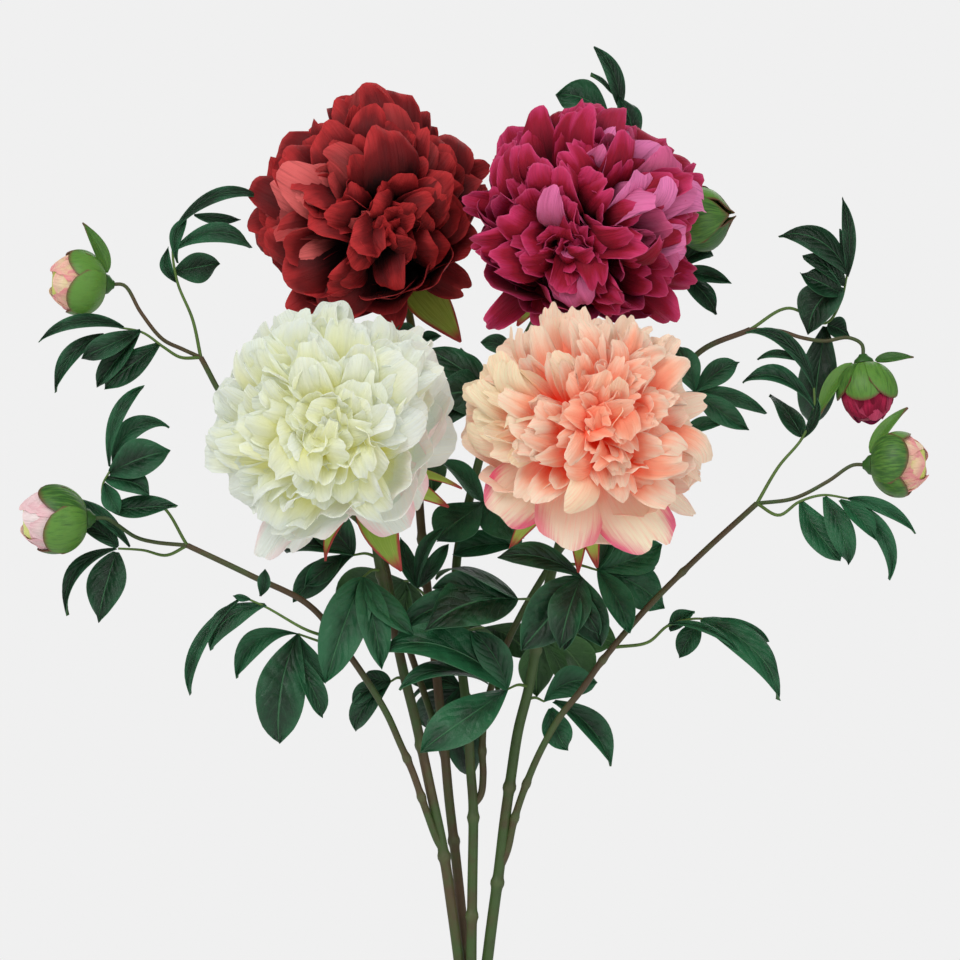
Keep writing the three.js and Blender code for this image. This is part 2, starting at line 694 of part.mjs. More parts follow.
// A closed surface of rings between two points on the axis: ring(r, segment) is a point of it.
function ringed(bottom, top, rings, segments, ring) {
  const points = [bottom];
  const triangles = [];
  for (let r = 0; r < rings; r += 1) {
    for (let s = 0; s < segments; s += 1) points.push(ring(r, s));
  }
  const at = (r, s) => 1 + r * segments + (s % segments);
  for (let s = 0; s < segments; s += 1) {
    triangles.push(0, at(0, s + 1), at(0, s));
    for (let r = 0; r + 1 < rings; r += 1) {
      triangles.push(at(r, s), at(r, s + 1), at(r + 1, s + 1), at(r, s), at(r + 1, s + 1), at(r + 1, s));
    }
    triangles.push(at(rings - 1, s), at(rings - 1, s + 1), points.length);
  }
  points.push(top);
  return solidOf(indexed(points, triangles));
}

const budAngle = (segment) => (2 * Math.PI * segment) / BUD.segments;

function makeBud({ radius, length }) {
  const tall = length - BUD.base - 2;
  return ringed(
    new THREE.Vector3(0, 0, BUD.base),
    new THREE.Vector3(0, 0, length),
    BUD.rows.length,
    BUD.segments,
    (r, s) => around(budAngle(s), budRadius(radius, BUD.rows[r]), BUD.base + tall * BUD.rows[r]),
  );
}

// The sepals hug the bud as one cup with pointed lobes, and some buds have narrow bracts as well.
function makeBudCalyx({ radius, length, base, axis, flare = 0, bracts = [] }) {
  const tall = length - BUD.base - 2;
  const shares = [0, 0.3, 0.62, 1];
  const under = [[2.6, -3], [5, -0.5]];
  const perLobe = BUD.segments / BUD.lobes;
  const ring = (r, s) => {
    if (r < under.length) return around(budAngle(s), ...under[r]);
    const inside = r >= under.length + shares.length;
    const share = inside ? shares.at(under.length + shares.length - 1 - r) : shares[r - under.length];
    const lobe = s % perLobe === 0 ? 0.2 : 1;
    const v = share * (0.36 + 0.42 * lobe);
    const lift = (inside ? BUD.shellLift : BUD.shellLift + SEPAL_THICKNESS) + flare * lobe * share ** 3;
    const rise = share === 0 ? -GAP : 0;
    return around(budAngle(s), budRadius(radius, v) + lift, BUD.base + tall * v + rise);
  };
  const cup = ringed(
    new THREE.Vector3(0, 0, -3),
    new THREE.Vector3(0, 0, BUD.base - GAP),
    under.length + 2 * shares.length,
    BUD.segments,
    ring,
  );
  const blades = bracts.map(([x, y, z, width]) => {
    const tip = directionIn(point([x, y, z]).sub(base), axis);
    const root = tip.clone().setZ(0).setLength(9).setZ(1.6);
    const outward = tip.clone().setZ(0).normalize();
    return bowedBlade(root, tip, {
      width,
      face: directionIn(FRONT, axis).add(outward),
      bow: 0.2,
      raise: 0.15,
      thickness: SEPAL_THICKNESS,
      outline: SEPAL,
    });
  });
  return union([cup, ...blades]);
}

// ---- The whole object ---------------------------------------------------------------------------
const peonies = new THREE.Group();

function add(name, solid, colour, { roughness = 0.7, place, axis } = {}) {
  const material = new THREE.MeshStandardMaterial({ color: COLOURS[colour], roughness, metalness: 0 });
  const mesh = new THREE.Mesh(geometryOf(solid), material);
  mesh.name = name;
  if (place) {
    mesh.position.copy(place);
    mesh.quaternion.setFromUnitVectors(UP, axis);
  }
  peonies.add(mesh);
}

// The same solid seen from a flower's own frame.
function inFrame(solid, place, axis) {
  const turn = new THREE.Quaternion().setFromUnitVectors(UP, axis);
  const frame = new THREE.Matrix4().compose(place, turn, new THREE.Vector3(1, 1, 1));
  return solid.transform(frame.invert().elements);
}

add("vase", makeVase(), "vase", { roughness: 0.35 });

const clearances = {};
for (const [name, stem] of Object.entries(STEMS)) {
  add(`${name}_stem`, makeStem(stem), "stem", { roughness: 0.5 });
  clearances[name] = makeStem(stem, GAP);
}
for (const [name, leaf] of Object.entries(LEAVES)) {
  add(name, makeLeaf(leaf, clearances[name.split("_")[0]]), "leaf", { roughness: 0.45 });
}
Object.entries(HEADS).forEach(([name, head], i) => {
  const { calyx, axis } = head;
  const frame = { place: calyx, axis };
  const socket = inFrame(clearances[name], calyx, axis);
  add(`${name}_calyx`, largest(makeCalyx(head).subtract(socket)), "sepal", { roughness: 0.5, ...frame });
  add(`${name}_bloom`, makeBloom(head, 7 + 31 * i), name, { roughness: 0.8, ...frame });
});
const budStems = { bud_white: "white", bud_red: "red", bud_magenta: "magenta", bud_coral: "coral", bud_top: "magenta" };
Object.entries(BUDS).forEach(([name, bud], i) => {
  const frame = { place: bud.base, axis: bud.axis };
  const socket = inFrame(clearances[budStems[name]], bud.base, bud.axis);
  const calyx = makeBudCalyx(bud).subtract(socket);
  add(name, makeBud(bud), bud.colour, { roughness: 0.75, ...frame });
  add(`${name}_sepals`, largest(calyx), "budSepal", { roughness: 0.5, ...frame });
});

export default peonies;
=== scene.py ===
import math
import random

import bpy
import numpy as np
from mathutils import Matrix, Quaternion, Vector


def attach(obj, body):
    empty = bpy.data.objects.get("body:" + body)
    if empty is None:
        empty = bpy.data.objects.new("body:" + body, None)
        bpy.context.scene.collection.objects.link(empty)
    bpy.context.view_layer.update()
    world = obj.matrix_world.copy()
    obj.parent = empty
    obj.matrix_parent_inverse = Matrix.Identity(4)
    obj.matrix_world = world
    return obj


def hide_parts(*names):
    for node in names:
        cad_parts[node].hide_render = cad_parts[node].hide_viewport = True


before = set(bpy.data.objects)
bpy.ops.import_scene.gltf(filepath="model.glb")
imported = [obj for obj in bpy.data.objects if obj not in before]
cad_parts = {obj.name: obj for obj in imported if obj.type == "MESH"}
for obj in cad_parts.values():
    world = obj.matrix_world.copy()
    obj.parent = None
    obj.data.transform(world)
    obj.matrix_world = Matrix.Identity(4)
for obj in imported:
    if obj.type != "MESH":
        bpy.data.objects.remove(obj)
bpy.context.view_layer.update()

MM = 0.001
UP = Vector((0, 0, 1))
FRONT = Vector((0, -0.88, 0.48)).normalized()  # the way a leaf at the front faces
BACK = Vector((0, 0.88, 0.48)).normalized()


def placed(name, data):
    thing = bpy.data.objects.new(name, data)
    bpy.context.scene.collection.objects.link(thing)
    return thing


# ---- The view -----------------------------------------------------------------------------------
VIEW_WIDTH = 576  # what the picture is wide at the depth of the main stems
VIEW_CENTRE = (3.6, 0, 513)
VIEW_DISTANCE = 5000
SENSOR = 36


def set_view():
    data = bpy.data.cameras.new("camera")
    data.sensor_width = SENSOR
    data.lens = SENSOR * VIEW_DISTANCE / VIEW_WIDTH
    data.clip_end = 60
    camera = placed("camera", data)
    x, y, z = VIEW_CENTRE
    camera.location = Vector((x, y - VIEW_DISTANCE, z)) * MM
    camera.rotation_euler = (math.radians(90), 0, 0)
    bpy.context.scene.camera = camera


# ---- Shader maths as expressions ----------------------------------------------------------------
class Value:
    """An output socket of a finish, on which sums and products add their own nodes."""

    def __init__(self, finish, socket):
        self.finish, self.socket = finish, socket

    def math(self, operation, *others):
        return self.finish.node("ShaderNodeMath", {"operation": operation}, dict(enumerate(others)))

    def __add__(self, other):
        return self.math("ADD", self, other)

    def __sub__(self, other):
        return self.math("SUBTRACT", self, other)

    def __rsub__(self, other):
        return self.math("SUBTRACT", other, self)

    def __mul__(self, other):
        return self.math("MULTIPLY", self, other)

    __radd__, __rmul__ = __add__, __mul__

    def __abs__(self):
        return self.math("ABSOLUTE", self)

    def greater(self, other):
        return self.math("MAXIMUM", self, other)

    def fraction(self):
        return self.math("FRACT", self)

    def length(self):
        settings = {"operation": "LENGTH"}
        return self.finish.node("ShaderNodeVectorMath", settings, {0: self}, out="Value")

    def rising(self, low, high):
        """0 below `low`, 1 above `high` and smooth between them."""
        settings = {"interpolation_type": "SMOOTHSTEP"}
        return self.finish.node("ShaderNodeMapRange", settings, {0: self, 1: low, 2: high})


def linear(colour):
    """The shader's colour of a hexadecimal sRGB one."""
    parts = [int(colour[i : i + 2], 16) / 255 for i in (0, 2, 4)]
    return tuple(c / 12.92 if c < 0.04045 else ((c + 0.055) / 1.055) ** 2.4 for c in parts) + (1,)


class Finish:
    """A material and the nodes that make it."""

    def __init__(self, name):
        self.material = bpy.data.materials.new(name)
        self.material.use_nodes = True
        self.tree = self.material.node_tree
        self.tree.nodes.clear()

    def node(self, kind, settings=None, values=None, out=0):
        node = self.tree.nodes.new(kind)
        for key, setting in (settings or {}).items():
            if key == "stops":
                ramp = node.color_ramp
                while len(ramp.elements) < len(setting):
                    ramp.elements.new(1)
                for element, (place, colour) in zip(ramp.elements, setting):
                    element.position = place
                    element.color = linear(colour)
            else:
                setattr(node, key, setting)
        for key, value in (values or {}).items():
            if isinstance(value, Value):
                self.tree.links.new(value.socket, node.inputs[key])
            else:
                node.inputs[key].default_value = value
        return Value(self, node.outputs[out]) if node.outputs else node

    def marks(self, *names):
        """The marks of these names that a piece carries at its points."""
        kind = "ShaderNodeAttribute"
        return [self.node(kind, {"attribute_name": name}, out="Fac") for name in names]

    def place(self):
        return self.node("ShaderNodeTexCoord", out="Object")

    def coordinate(self, place, axis):
        return self.node("ShaderNodeSeparateXYZ", values={0: place}, out=axis)

    def vector(self, x, y, z):
        return self.node("ShaderNodeCombineXYZ", values={0: x, 1: y, 2: z})

    def noise(self, where, scale, detail=3, roughness=0.55):
        values = {"Vector": where, "Scale": scale, "Detail": detail, "Roughness": roughness}
        return self.node("ShaderNodeTexNoise", values=values)

    def ramp(self, factor, *stops):
        return self.node("ShaderNodeValToRGB", {"stops": stops}, {0: factor})

    def mix(self, factor, first, second):
        """Two colours, of which `factor` is the share of the second."""
        first, second = (linear(c) if isinstance(c, str) else c for c in (first, second))
        values = {0: factor, 6: first, 7: second}
        return self.node("ShaderNodeMix", {"data_type": "RGBA"}, values, out=2)

    def bump(self, height, depth, strength):
        values = {"Strength": strength, "Distance": depth * MM, "Height": height}
        return self.node("ShaderNodeBump", values=values)

    def surface(self, **values):
        named = {k.replace("_", " ").title().replace("Ior", "IOR"): v for k, v in values.items()}
        shader = self.node("ShaderNodeBsdfPrincipled", values=named)
        self.node("ShaderNodeOutputMaterial", values={"Surface": shader})
        return self.material


# ---- The finishes -------------------------------------------------------------------------------
# Colours and shares are judged. The scale of a noise on places is its waves in a metre.
def glaze_finish():
    f = Finish("ivory_glaze")
    place = f.place()
    cloud = f.noise(place, 22, 4)
    speck = f.noise(place, 900, 1).rising(0.7, 0.76)
    foot = 1 - f.coordinate(place, 2).rising(0.0012, 0.0024)  # unglazed, in metres above the floor
    colour = f.mix(cloud.rising(0.35, 0.7), "ECE8DE", "E2DCCD")
    colour = f.mix(speck * 0.35, colour, "A8977B")
    colour = f.mix(foot, colour, "C9BCA4")
    return f.surface(
        base_color=colour,
        roughness=0.2 + 0.1 * cloud + 0.5 * foot,
        normal=f.bump(f.noise(place, 60, 2), 0.25, 0.5),
        coat_weight=0.5 * (1 - foot),
        coat_roughness=0.08,
    )


def stem_finish():
    """Green where it is young, with patches of brown bark where the mark `young` is negative."""
    f = Finish("stem_skin")
    place = f.place()
    broad = f.noise(place, 14, 3)
    fine = f.noise(place, 120, 4)
    knot, young = f.marks("knot", "young")
    bare = (broad + 0.35 * fine - 0.3 * young).rising(0.66, 0.9)
    colour = f.mix(young, "3C5426", "56732F")
    colour = f.mix(bare, colour, "55402A")
    colour = f.mix(knot * 0.6, colour, "56603A")
    colour = f.mix(fine.rising(0.4, 0.75) * 0.35, colour, "2F3B22")
    drawn_out = [f.coordinate(place, axis) * share for axis, share in enumerate((1, 1, 0.15))]
    thread = f.noise(f.vector(*drawn_out), 700, 2)
    return f.surface(
        base_color=colour,
        roughness=0.42 + 0.2 * fine,
        normal=f.bump(thread + fine, 0.35, 0.6),
        specular_ior_level=0.45,
    )


def veins(f, along, across, tone):
    """1 on the midrib and the side veins of a leaf and 0 between them, and how it swells there."""
    side = abs(across)
    wander = f.noise(f.vector(along * 5, across * 2, tone * 9), 1, 2) * 0.8
    stripe = abs((along * 7 - side * 2.6 + wander).fraction() - 0.5)
    branch = (1 - stripe.rising(0, 0.08)) * (1 - side.rising(0.7, 0.95)) * 0.2
    rib = 1 - (side * (1.6 - along)).rising(0.015, 0.065)
    return branch.greater(rib), stripe.rising(0, 0.42) * (1 - side.rising(0.5, 1))


def leaf_finish(name, dark, light, vein_colour, rim, roughness):
    f = Finish(name)
    along, across, tone = f.marks("along", "across", "tone")
    place = f.place()
    vein, swell = veins(f, along, across, tone)
    blotch_and_sheen = f.noise(place, 55, 3)
    pucker = f.noise(place, 80, 2)
    grain = f.noise(f.vector(across * 5, along * 40, tone * 30), 3, 3)
    # The pale mix is partly the leaf's own random tone and partly painted sheen: pale cloudy
    # patches, and a blade that is paler towards its edges than along its midrib.
    pale_and_lit = blotch_and_sheen * 0.9 + tone * 0.5 + abs(across) * 0.35 - 0.38
    colour = f.mix(pale_and_lit.rising(0.2, 0.85), dark, light)
    colour = f.mix(vein * 0.6, colour, vein_colour)
    colour = f.mix(grain.rising(0.45, 0.8) * 0.2, colour, light)
    colour = f.mix(abs(across).rising(0.93, 1) * 0.5, colour, rim)
    return f.surface(
        base_color=colour,
        roughness=roughness + 0.14 * blotch_and_sheen - 0.06 * vein,
        normal=f.bump(grain * 0.5 - 0.5 * vein + 0.3 * swell + 3.4 * pucker, 0.9, 0.9),
        specular_ior_level=0.42,
    )


def sepal_finish(name, base, middle, margin, margin_from, tip_from):
    """`margin` is the colour of the rim and the tip, from those shares of the way out to them."""
    f = Finish(name)
    along, across, tone = f.marks("along", "across", "tone")
    streak = f.noise(f.vector(across * 7, along * 1.5, tone * 20), 2, 3)
    outer = abs(across) + streak * 0.12 + along.rising(0.5, 1) * 0.25
    rim = outer.rising(margin_from, margin_from + 0.2)
    tip = (along + streak * 0.15).rising(tip_from, tip_from + 0.16)
    colour = f.mix((streak + tone * 0.5 - 0.2).rising(0.3, 0.75), base, middle)
    colour = f.mix(rim.greater(tip), colour, margin)
    colour = f.mix(streak.rising(0.55, 0.85) * 0.3, colour, base)
    return f.surface(
        base_color=colour,
        roughness=0.42 + 0.15 * streak,
        normal=f.bump(streak, 0.5, 0.6),
        subsurface_weight=0.1,
        subsurface_scale=0.002,
    )


def petal_finish(name, stops, other, blush, shadow, streaked=0.35, rim=0, glow=0.2, fade=0,
                 pale_and_lit_from=0.62, crinkle=1.2, painted_glow=0, satin=0):
    """Dyed cloth: `stops` run from the root to the tip, and their dark root colours are partly the
    petals' own deeper colour there and partly painted shade deep in the heart. `other` is the
    palest petals' colour, on the red and magenta silks partly painted highlight on lit petals.

    `blush` is at the margins of guard petals, and `shadow` in streaks. `fade` is how much further
    along the stops the outermost petals are than those at the heart, `painted_glow` a painted glow
    of the petal's own colour that stands in for light shining in from behind the cloth, and `satin`
    its shine.
    """
    f = Finish(name)
    along, across, tone, guard, opened = f.marks("along", "across", "tone", "guard", "open")
    streak = f.noise(f.vector(across * 9, along * 1.2, tone * 40), 1.5, 4, 0.6)
    cloud = f.noise(f.vector(across * 1.3, along * 2, tone * 17), 1.4, 2)
    crease = f.noise(f.vector(across * 5, along * 0.8, tone * 40), 1.4, 3)
    faded = (opened - 0.6) * fade
    colour = f.ramp(along + (cloud - 0.5) * 0.35 + (streak - 0.5) * 0.12 + faded, *stops)
    colour = f.mix(tone.rising(pale_and_lit_from, 1) * along.rising(0.35, 0.9), colour, other)
    colour = f.mix(streak.rising(0.45, 0.8) * streaked * along, colour, shadow)
    edge = (abs(across) * 0.5 + along * 0.65 + (streak - 0.5) * 0.4).rising(0.66, 1.02)
    colour = f.mix(edge * guard, colour, blush)
    if rim:
        colour = f.mix(along.rising(0.965, 1) * rim, colour, other)
    return f.surface(
        base_color=colour,
        roughness=0.62 - 0.25 * satin + 0.15 * cloud,
        normal=f.bump(crease + 0.4 * streak, crinkle, 0.8),
        specular_ior_level=0.14 + 0.4 * satin,
        sheen_weight=0.02,
        sheen_roughness=0.5,
        subsurface_weight=glow,
        subsurface_radius=(1, 0.95, 0.9),
        subsurface_scale=0.004,
        # Painted glow: the petal's own colour shines by itself, as light shining in from behind the
        # cloth would.
        emission_color=colour,
        emission_strength=painted_glow,
    )


FINISHES = {
    "glaze": glaze_finish(),
    "stem": stem_finish(),
    "leaf": leaf_finish("leaf_face", "04200D", "23603C", "3F754C", "3B6A48", 0.26),
    "leaf_under": leaf_finish("leaf_underside", "22461F", "3A6630", "527D42", "567F48", 0.55),
    "sepal": sepal_finish("calyx_leaf", "86A332", "A9C14F", "A8322F", 0.86, 0.87),
    "bud_sepal": sepal_finish("bud_leaf", "2C5A1C", "5A8A30", "6A3A2A", 1.12, 0.95),
    # The white and coral silks carry a painted glow of their own colour.
    "white": petal_finish(
        "ivory_silk", [(0, "C8C43C"), (0.45, "DBD87C"), (0.78, "DBDEB2"), (1, "D3DACE")],
        "D6DBD3", "EEB4BC", "DAD898", glow=0.6, fade=0.32, crinkle=1.6, painted_glow=0.15,
    ),
    # The red and magenta stops start near black: painted shade deep in the heart, over the petals'
    # own darker roots.
    "red": petal_finish(
        "brick_red_silk", [(0, "050001"), (0.5, "240305"), (0.82, "720A0F"), (1, "B8282A")],
        "DE6462", "6A0A12", "3E060A", 0.5, glow=0.06, pale_and_lit_from=0.74, satin=0.2,
    ),
    "coral": petal_finish(
        "peach_silk", [(0, "FF3014"), (0.42, "FE5632"), (0.72, "FA9878"), (0.95, "F0D4B6")],
        "F2E0B6", "E04A70", "FF7A62", 0.5, glow=0.5, fade=0.46, painted_glow=0.08,
    ),
    "magenta": petal_finish(
        "magenta_silk", [(0, "1C0208"), (0.5, "4C0510"), (0.84, "960D2A"), (1, "C42E60")],
        "E87CB2", "8E1140", "5E0822", 0.5, rim=0.12, glow=0.08, pale_and_lit_from=0.7, satin=0.1,
    ),
    "pale_bud": petal_finish(
        "pale_bud_silk", [(0, "C9CE6C"), (0.62, "E6DC8C"), (0.84, "F0C9A4"), (1, "E88A94")],
        "F2DDB4", "EB9292", "EBCF9E",
    ),
    "blush_bud": petal_finish(
        "blush_bud_silk", [(0, "DDE08A"), (0.35, "EBD9CF"), (0.7, "F2DCD6"), (1, "F0BFC4")],
        "FAF1EE", "EDB6BC", "EFD2CC",
    ),
    "crimson_bud": petal_finish(
        "crimson_bud_silk", [(0, "7C1030"), (0.4, "A31A40"), (0.8, "B8254C"), (1, "8E1436")],
        "C94468", "6E0A26", "7A0B30", 0.5, glow=0.1,
    ),
}


# ---- Meshes -------------------------------------------------------------------------------------
def deselect():
    bpy.ops.object.select_all(action="DESELECT")


def activate(*pieces):
    deselect()
    for piece in pieces:
        piece.select_set(True)
    bpy.context.view_layer.objects.active = pieces[0]


def modify(piece, kind, **settings):
    activate(piece)
    modifier = piece.modifiers.new("step", kind)
    for key, value in settings.items():
        setattr(modifier, key, value)
    bpy.ops.object.modifier_apply(modifier=modifier.name)


def joined(pieces):
    if len(pieces) > 1:
        activate(*pieces)
        bpy.ops.object.join()
    return pieces[0]


def soften(piece, degrees):
    activate(piece)
    bpy.ops.object.shade_smooth_by_angle(angle=math.radians(degrees))


def hand_over(piece, node):
    """The finished piece stands for its CAD node and moves with the object."""
    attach(piece, "root")
    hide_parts(node)


def new_piece(name, points, faces, edges=()):
    mesh = bpy.data.meshes.new(name)
    mesh.from_pydata((np.asarray(points, float) * MM).tolist(), edges, faces)
    return placed(name, mesh)


def put_marks(piece, marks):
    for key, values in marks.items():
        attribute = piece.data.attributes.new(key, "FLOAT", "POINT")
        attribute.data.foreach_set("value", np.asarray(values, float))


def smooth_route(points, spacing):
    """Points every `spacing` along a centripetal Catmull-Rom curve, and the curve's length."""
    p = [np.array(q, float) for q in points]
    p = [2 * p[0] - p[1], *p, 2 * p[-1] - p[-2]]
    fine = []
    for i in range(1, len(p) - 2):
        a, b, c, d = p[i - 1 : i + 3]
        t1, t2, t3 = (max(np.linalg.norm(y - x), 1e-6) ** 0.5 for x, y in ((a, b), (b, c), (c, d)))
        m1 = (b - a) / t1 - (c - a) / (t1 + t2) + (c - b) / t2
        m2 = (c - b) / t2 - (d - b) / (t2 + t3) + (d - c) / t3
        for s in np.linspace(0, 1, 24, endpoint=i == len(p) - 3):
            h = (2 * s**3 - 3 * s**2 + 1, s**3 - 2 * s**2 + s, 3 * s**2 - 2 * s**3, s**3 - s**2)
            fine.append(h[0] * b + h[1] * m1 * t2 + h[2] * c + h[3] * m2 * t2)
    fine = np.array(fine)
    run = np.concatenate([[0], np.cumsum(np.linalg.norm(np.diff(fine, axis=0), axis=1))])
    places = np.linspace(0, run[-1], max(3, round(run[-1] / spacing) + 1))
    return np.stack([np.interp(places, run, fine[:, k]) for k in range(3)], axis=1), run[-1]


KNOT_SWELL = 0.34
KNOT_HALF = 2.4
STALK_SPACING = 2


def tube(name, points, radii, young, knots=(), resolution=4):
    """A round stalk along a smooth route, tapering, with swollen knots at some shares of it."""
    route, length = smooth_route(points, STALK_SPACING)
    share = np.linspace(0, 1, len(route))
    knot = np.zeros(len(route))
    for k in knots:
        knot += np.exp(-(((share - k) * length / KNOT_HALF) ** 2))
    radius = (radii[0] + (radii[1] - radii[0]) * share) * (1 + KNOT_SWELL * knot)
    curve = bpy.data.curves.new(name, "CURVE")
    curve.dimensions = "3D"
    curve.bevel_depth = MM
    curve.bevel_resolution = resolution
    curve.use_fill_caps = True
    spline = curve.splines.new("POLY")
    spline.points.add(len(route) - 1)
    for place, r, at in zip(spline.points, radius, route):
        place.co = (*(at * MM), 1)
        place.radius = r
    activate(placed(name, curve))
    bpy.ops.object.convert(target="MESH")
    piece = bpy.context.object
    at = np.array([v.co for v in piece.data.vertices]) / MM
    nearest = np.argmin(np.linalg.norm(at[:, None] - route[None], axis=2), axis=1)
    put_marks(piece, {"knot": np.clip(knot[nearest], 0, 1), "young": np.full(len(at), young)})
    piece.data.materials.clear()
    piece.data.materials.append(FINISHES["stem"])
    return piece


# ---- Sheets: petals, leaflets and sepals --------------------------------------------------------
class Blank:
    """A flat rectangle of cloth as a grid: across it from -1 to 1 and along it from 0 to 1."""

    def __init__(self, columns, rows):
        deselect()
        bpy.ops.mesh.primitive_grid_add(x_subdivisions=columns, y_subdivisions=rows, size=2)
        sheet = bpy.context.object
        mesh = sheet.data
        places = np.array([v.co for v in mesh.vertices])
        self.across = places[:, 0]
        self.along = (places[:, 1] + 1) / 2
        self.faces = np.array([face.vertices for face in mesh.polygons])
        bpy.data.objects.remove(sheet)
        bpy.data.meshes.remove(mesh)


def spine(bend, curl, curl_from):
    """Shares along a sheet, and there its advance, lift and heading, as shares of its chord."""
    share = np.linspace(0, 1, 41)
    late = np.clip((share - curl_from) / (1 - curl_from), 0, 1)
    heading = bend * (share - 0.5) + curl * late**1.4
    step = np.diff(share, prepend=0)
    advance = np.cumsum(np.cos(heading) * step)
    lift = np.cumsum(np.sin(heading) * step)
    tilt = math.atan2(lift[-1], advance[-1])
    chord = math.hypot(lift[-1], advance[-1])
    turned = (advance * math.cos(tilt) + lift * math.sin(tilt)) / chord
    raised = (lift * math.cos(tilt) - advance * math.sin(tilt)) / chord
    return share, turned, raised, heading - tilt


def bend_sheet(blank, root, tip, face, width, outline, reach=None, bend=0, curl=0, curl_from=0.6,
               cup=0, fold=0, ruffle=0, waves=2, phase=0, roll=0, twist=0, sway=0):
    """The points of a blank cut to `outline`, laid from `root` to `tip` and shaped.

    Its inner side looks towards `face`. `bend`, `curl`, `roll` and `twist` are angles, and the
    other amounts are millimetres, but `cup`, `fold` and `sway`, which are shares of its size.
    """
    u, v = blank.across, blank.along
    root, tip = np.array(root, float), np.array(tip, float)
    chord = tip - root
    length = np.linalg.norm(chord)
    chord = Vector(chord / length)
    rise = (face - chord * face.dot(chord)).normalized()
    rise = Quaternion(chord, roll) @ rise
    side = chord.cross(rise)
    chord, rise, side = (np.array(a) for a in (chord, rise, side))
    share, turned, raised, heading = spine(bend, curl, curl_from)
    s = v * (reach(u) if reach else 1)
    forward = np.interp(s, share, turned) * length
    lift = np.interp(s, share, raised) * length
    slope = np.interp(s, share, heading)
    normal = np.outer(np.cos(slope), rise) - np.outer(np.sin(slope), chord)
    turn = twist * s
    across = np.outer(np.cos(turn), side) + normal * np.sin(turn)[:, None]
    normal = normal * np.cos(turn)[:, None] - np.outer(np.sin(turn), side)
    half = width / 2 * outline(v)
    offset = cup * half * u**2 - fold * half * np.exp(-((u / 0.3) ** 2))
    offset += ruffle * v**1.5 * np.sin(waves * math.pi * u + phase) * (0.35 + 0.65 * np.abs(u))
    offset += 0.5 * ruffle * v**2 * np.abs(u) * np.sin(7 * v + 2 * phase)
    x = u * half + sway * length * 4 * s * (1 - s)
    spread = root + np.outer(forward, chord) + np.outer(lift, rise)
    return spread + across * x[:, None] + normal * offset[:, None]


def drawn(draw, ranges):
    """A draw from each range, in the order in which they are written. A plain number stays."""
    return {k: draw.uniform(*r) if isinstance(r, tuple) else r for k, r in ranges.items()}


class Sheaf:
    """Sheets gathered into one piece, with the marks that their finish reads."""

    def __init__(self):
        self.points, self.faces, self.marks, self.count = [], [], {}, 0

    def add(self, blank, points, **marks):
        self.points.append(points)
        self.faces.append(blank.faces + self.count)
        self.count += len(points)
        marks = {"along": blank.along, "across": blank.across, **marks}
        for key, value in marks.items():
            self.marks.setdefault(key, []).append(np.broadcast_to(value, len(points)))

    def piece(self, name, thickness, finish, under=None):
        """The sheets as one piece; the side away from their faces may have the finish `under`."""
        faces = np.concatenate(self.faces).tolist()
        piece = new_piece(name, np.concatenate(self.points), faces)
        put_marks(piece, {key: np.concatenate(values) for key, values in self.marks.items()})
        for key in (finish, under):
            if key:
                piece.data.materials.append(FINISHES[key])
        other = 1 if under else 0
        modify(piece, "SOLIDIFY", thickness=thickness * MM, offset=0, material_offset=other)
        soften(piece, 60)
        return piece


# ---- The vase -----------------------------------------------------------------------------------
VASE_FLOOR = 9
VASE_TOP = 208  # the rim's half round stands on this
OUTER_PROFILE = [(37, 3), (44, 30), (47, 64), (39, 104), (24, 142), (19, 172), (22, VASE_TOP)]
INNER_PROFILE = [(17.8, VASE_TOP), (14.8, 172), (19.8, 142), (34.8, 104), (42.8, 64), (37.8, 30),
                 (30.8, 12)]
FOOT_RING = [(0, 0.8), (27, 0.8), (28.5, 0), (33.5, 0), (35, 0.5), (36.2, 1.6)]
RIM_MIDDLE = 19.9
RIM_HALF = 2.1
RIM_HEIGHT = 2


def turned(name, profile, finish, angle, steps=32):
    """A closed body of revolution about +Z from its profile, (radius, height) from axis to axis.

    It is smooth where its faces meet at less than `angle` degrees.
    """
    edges = [(i, i + 1) for i in range(len(profile) - 1)]
    piece = new_piece(name, [(r, 0, z) for r, z in profile], [], edges)
    activate(piece)
    bpy.ops.object.mode_set(mode="EDIT")
    bpy.ops.mesh.select_all(action="SELECT")
    bpy.ops.mesh.spin(steps=steps, angle=math.tau, center=(0, 0, 0), axis=(0, 0, 1))
    bpy.ops.mesh.select_all(action="SELECT")
    bpy.ops.mesh.remove_doubles(threshold=0.01 * MM)
    bpy.ops.mesh.normals_make_consistent(inside=False)
    bpy.ops.object.mode_set(mode="OBJECT")
    piece.data.materials.append(FINISHES[finish])
    soften(piece, angle)
    return piece


def profile_through(points, spacing):
    route, _ = smooth_route([(r, 0, z) for r, z in points], spacing)
    return [(r, z) for r, _, z in route]


def make_vase():
    rim = [(RIM_MIDDLE + RIM_HALF * math.cos(a), VASE_TOP + RIM_HEIGHT * math.sin(a))
           for a in np.linspace(0.2, math.pi - 0.2, 9)]
    outside, inside = profile_through(OUTER_PROFILE, 3), profile_through(INNER_PROFILE, 5)
    bottom = [(26, VASE_FLOOR), (0, VASE_FLOOR)]
    profile = [*FOOT_RING, *outside, *rim, *inside, *bottom]
    hand_over(turned("bud_vase", profile, "glaze", 40, steps=96), "vase")
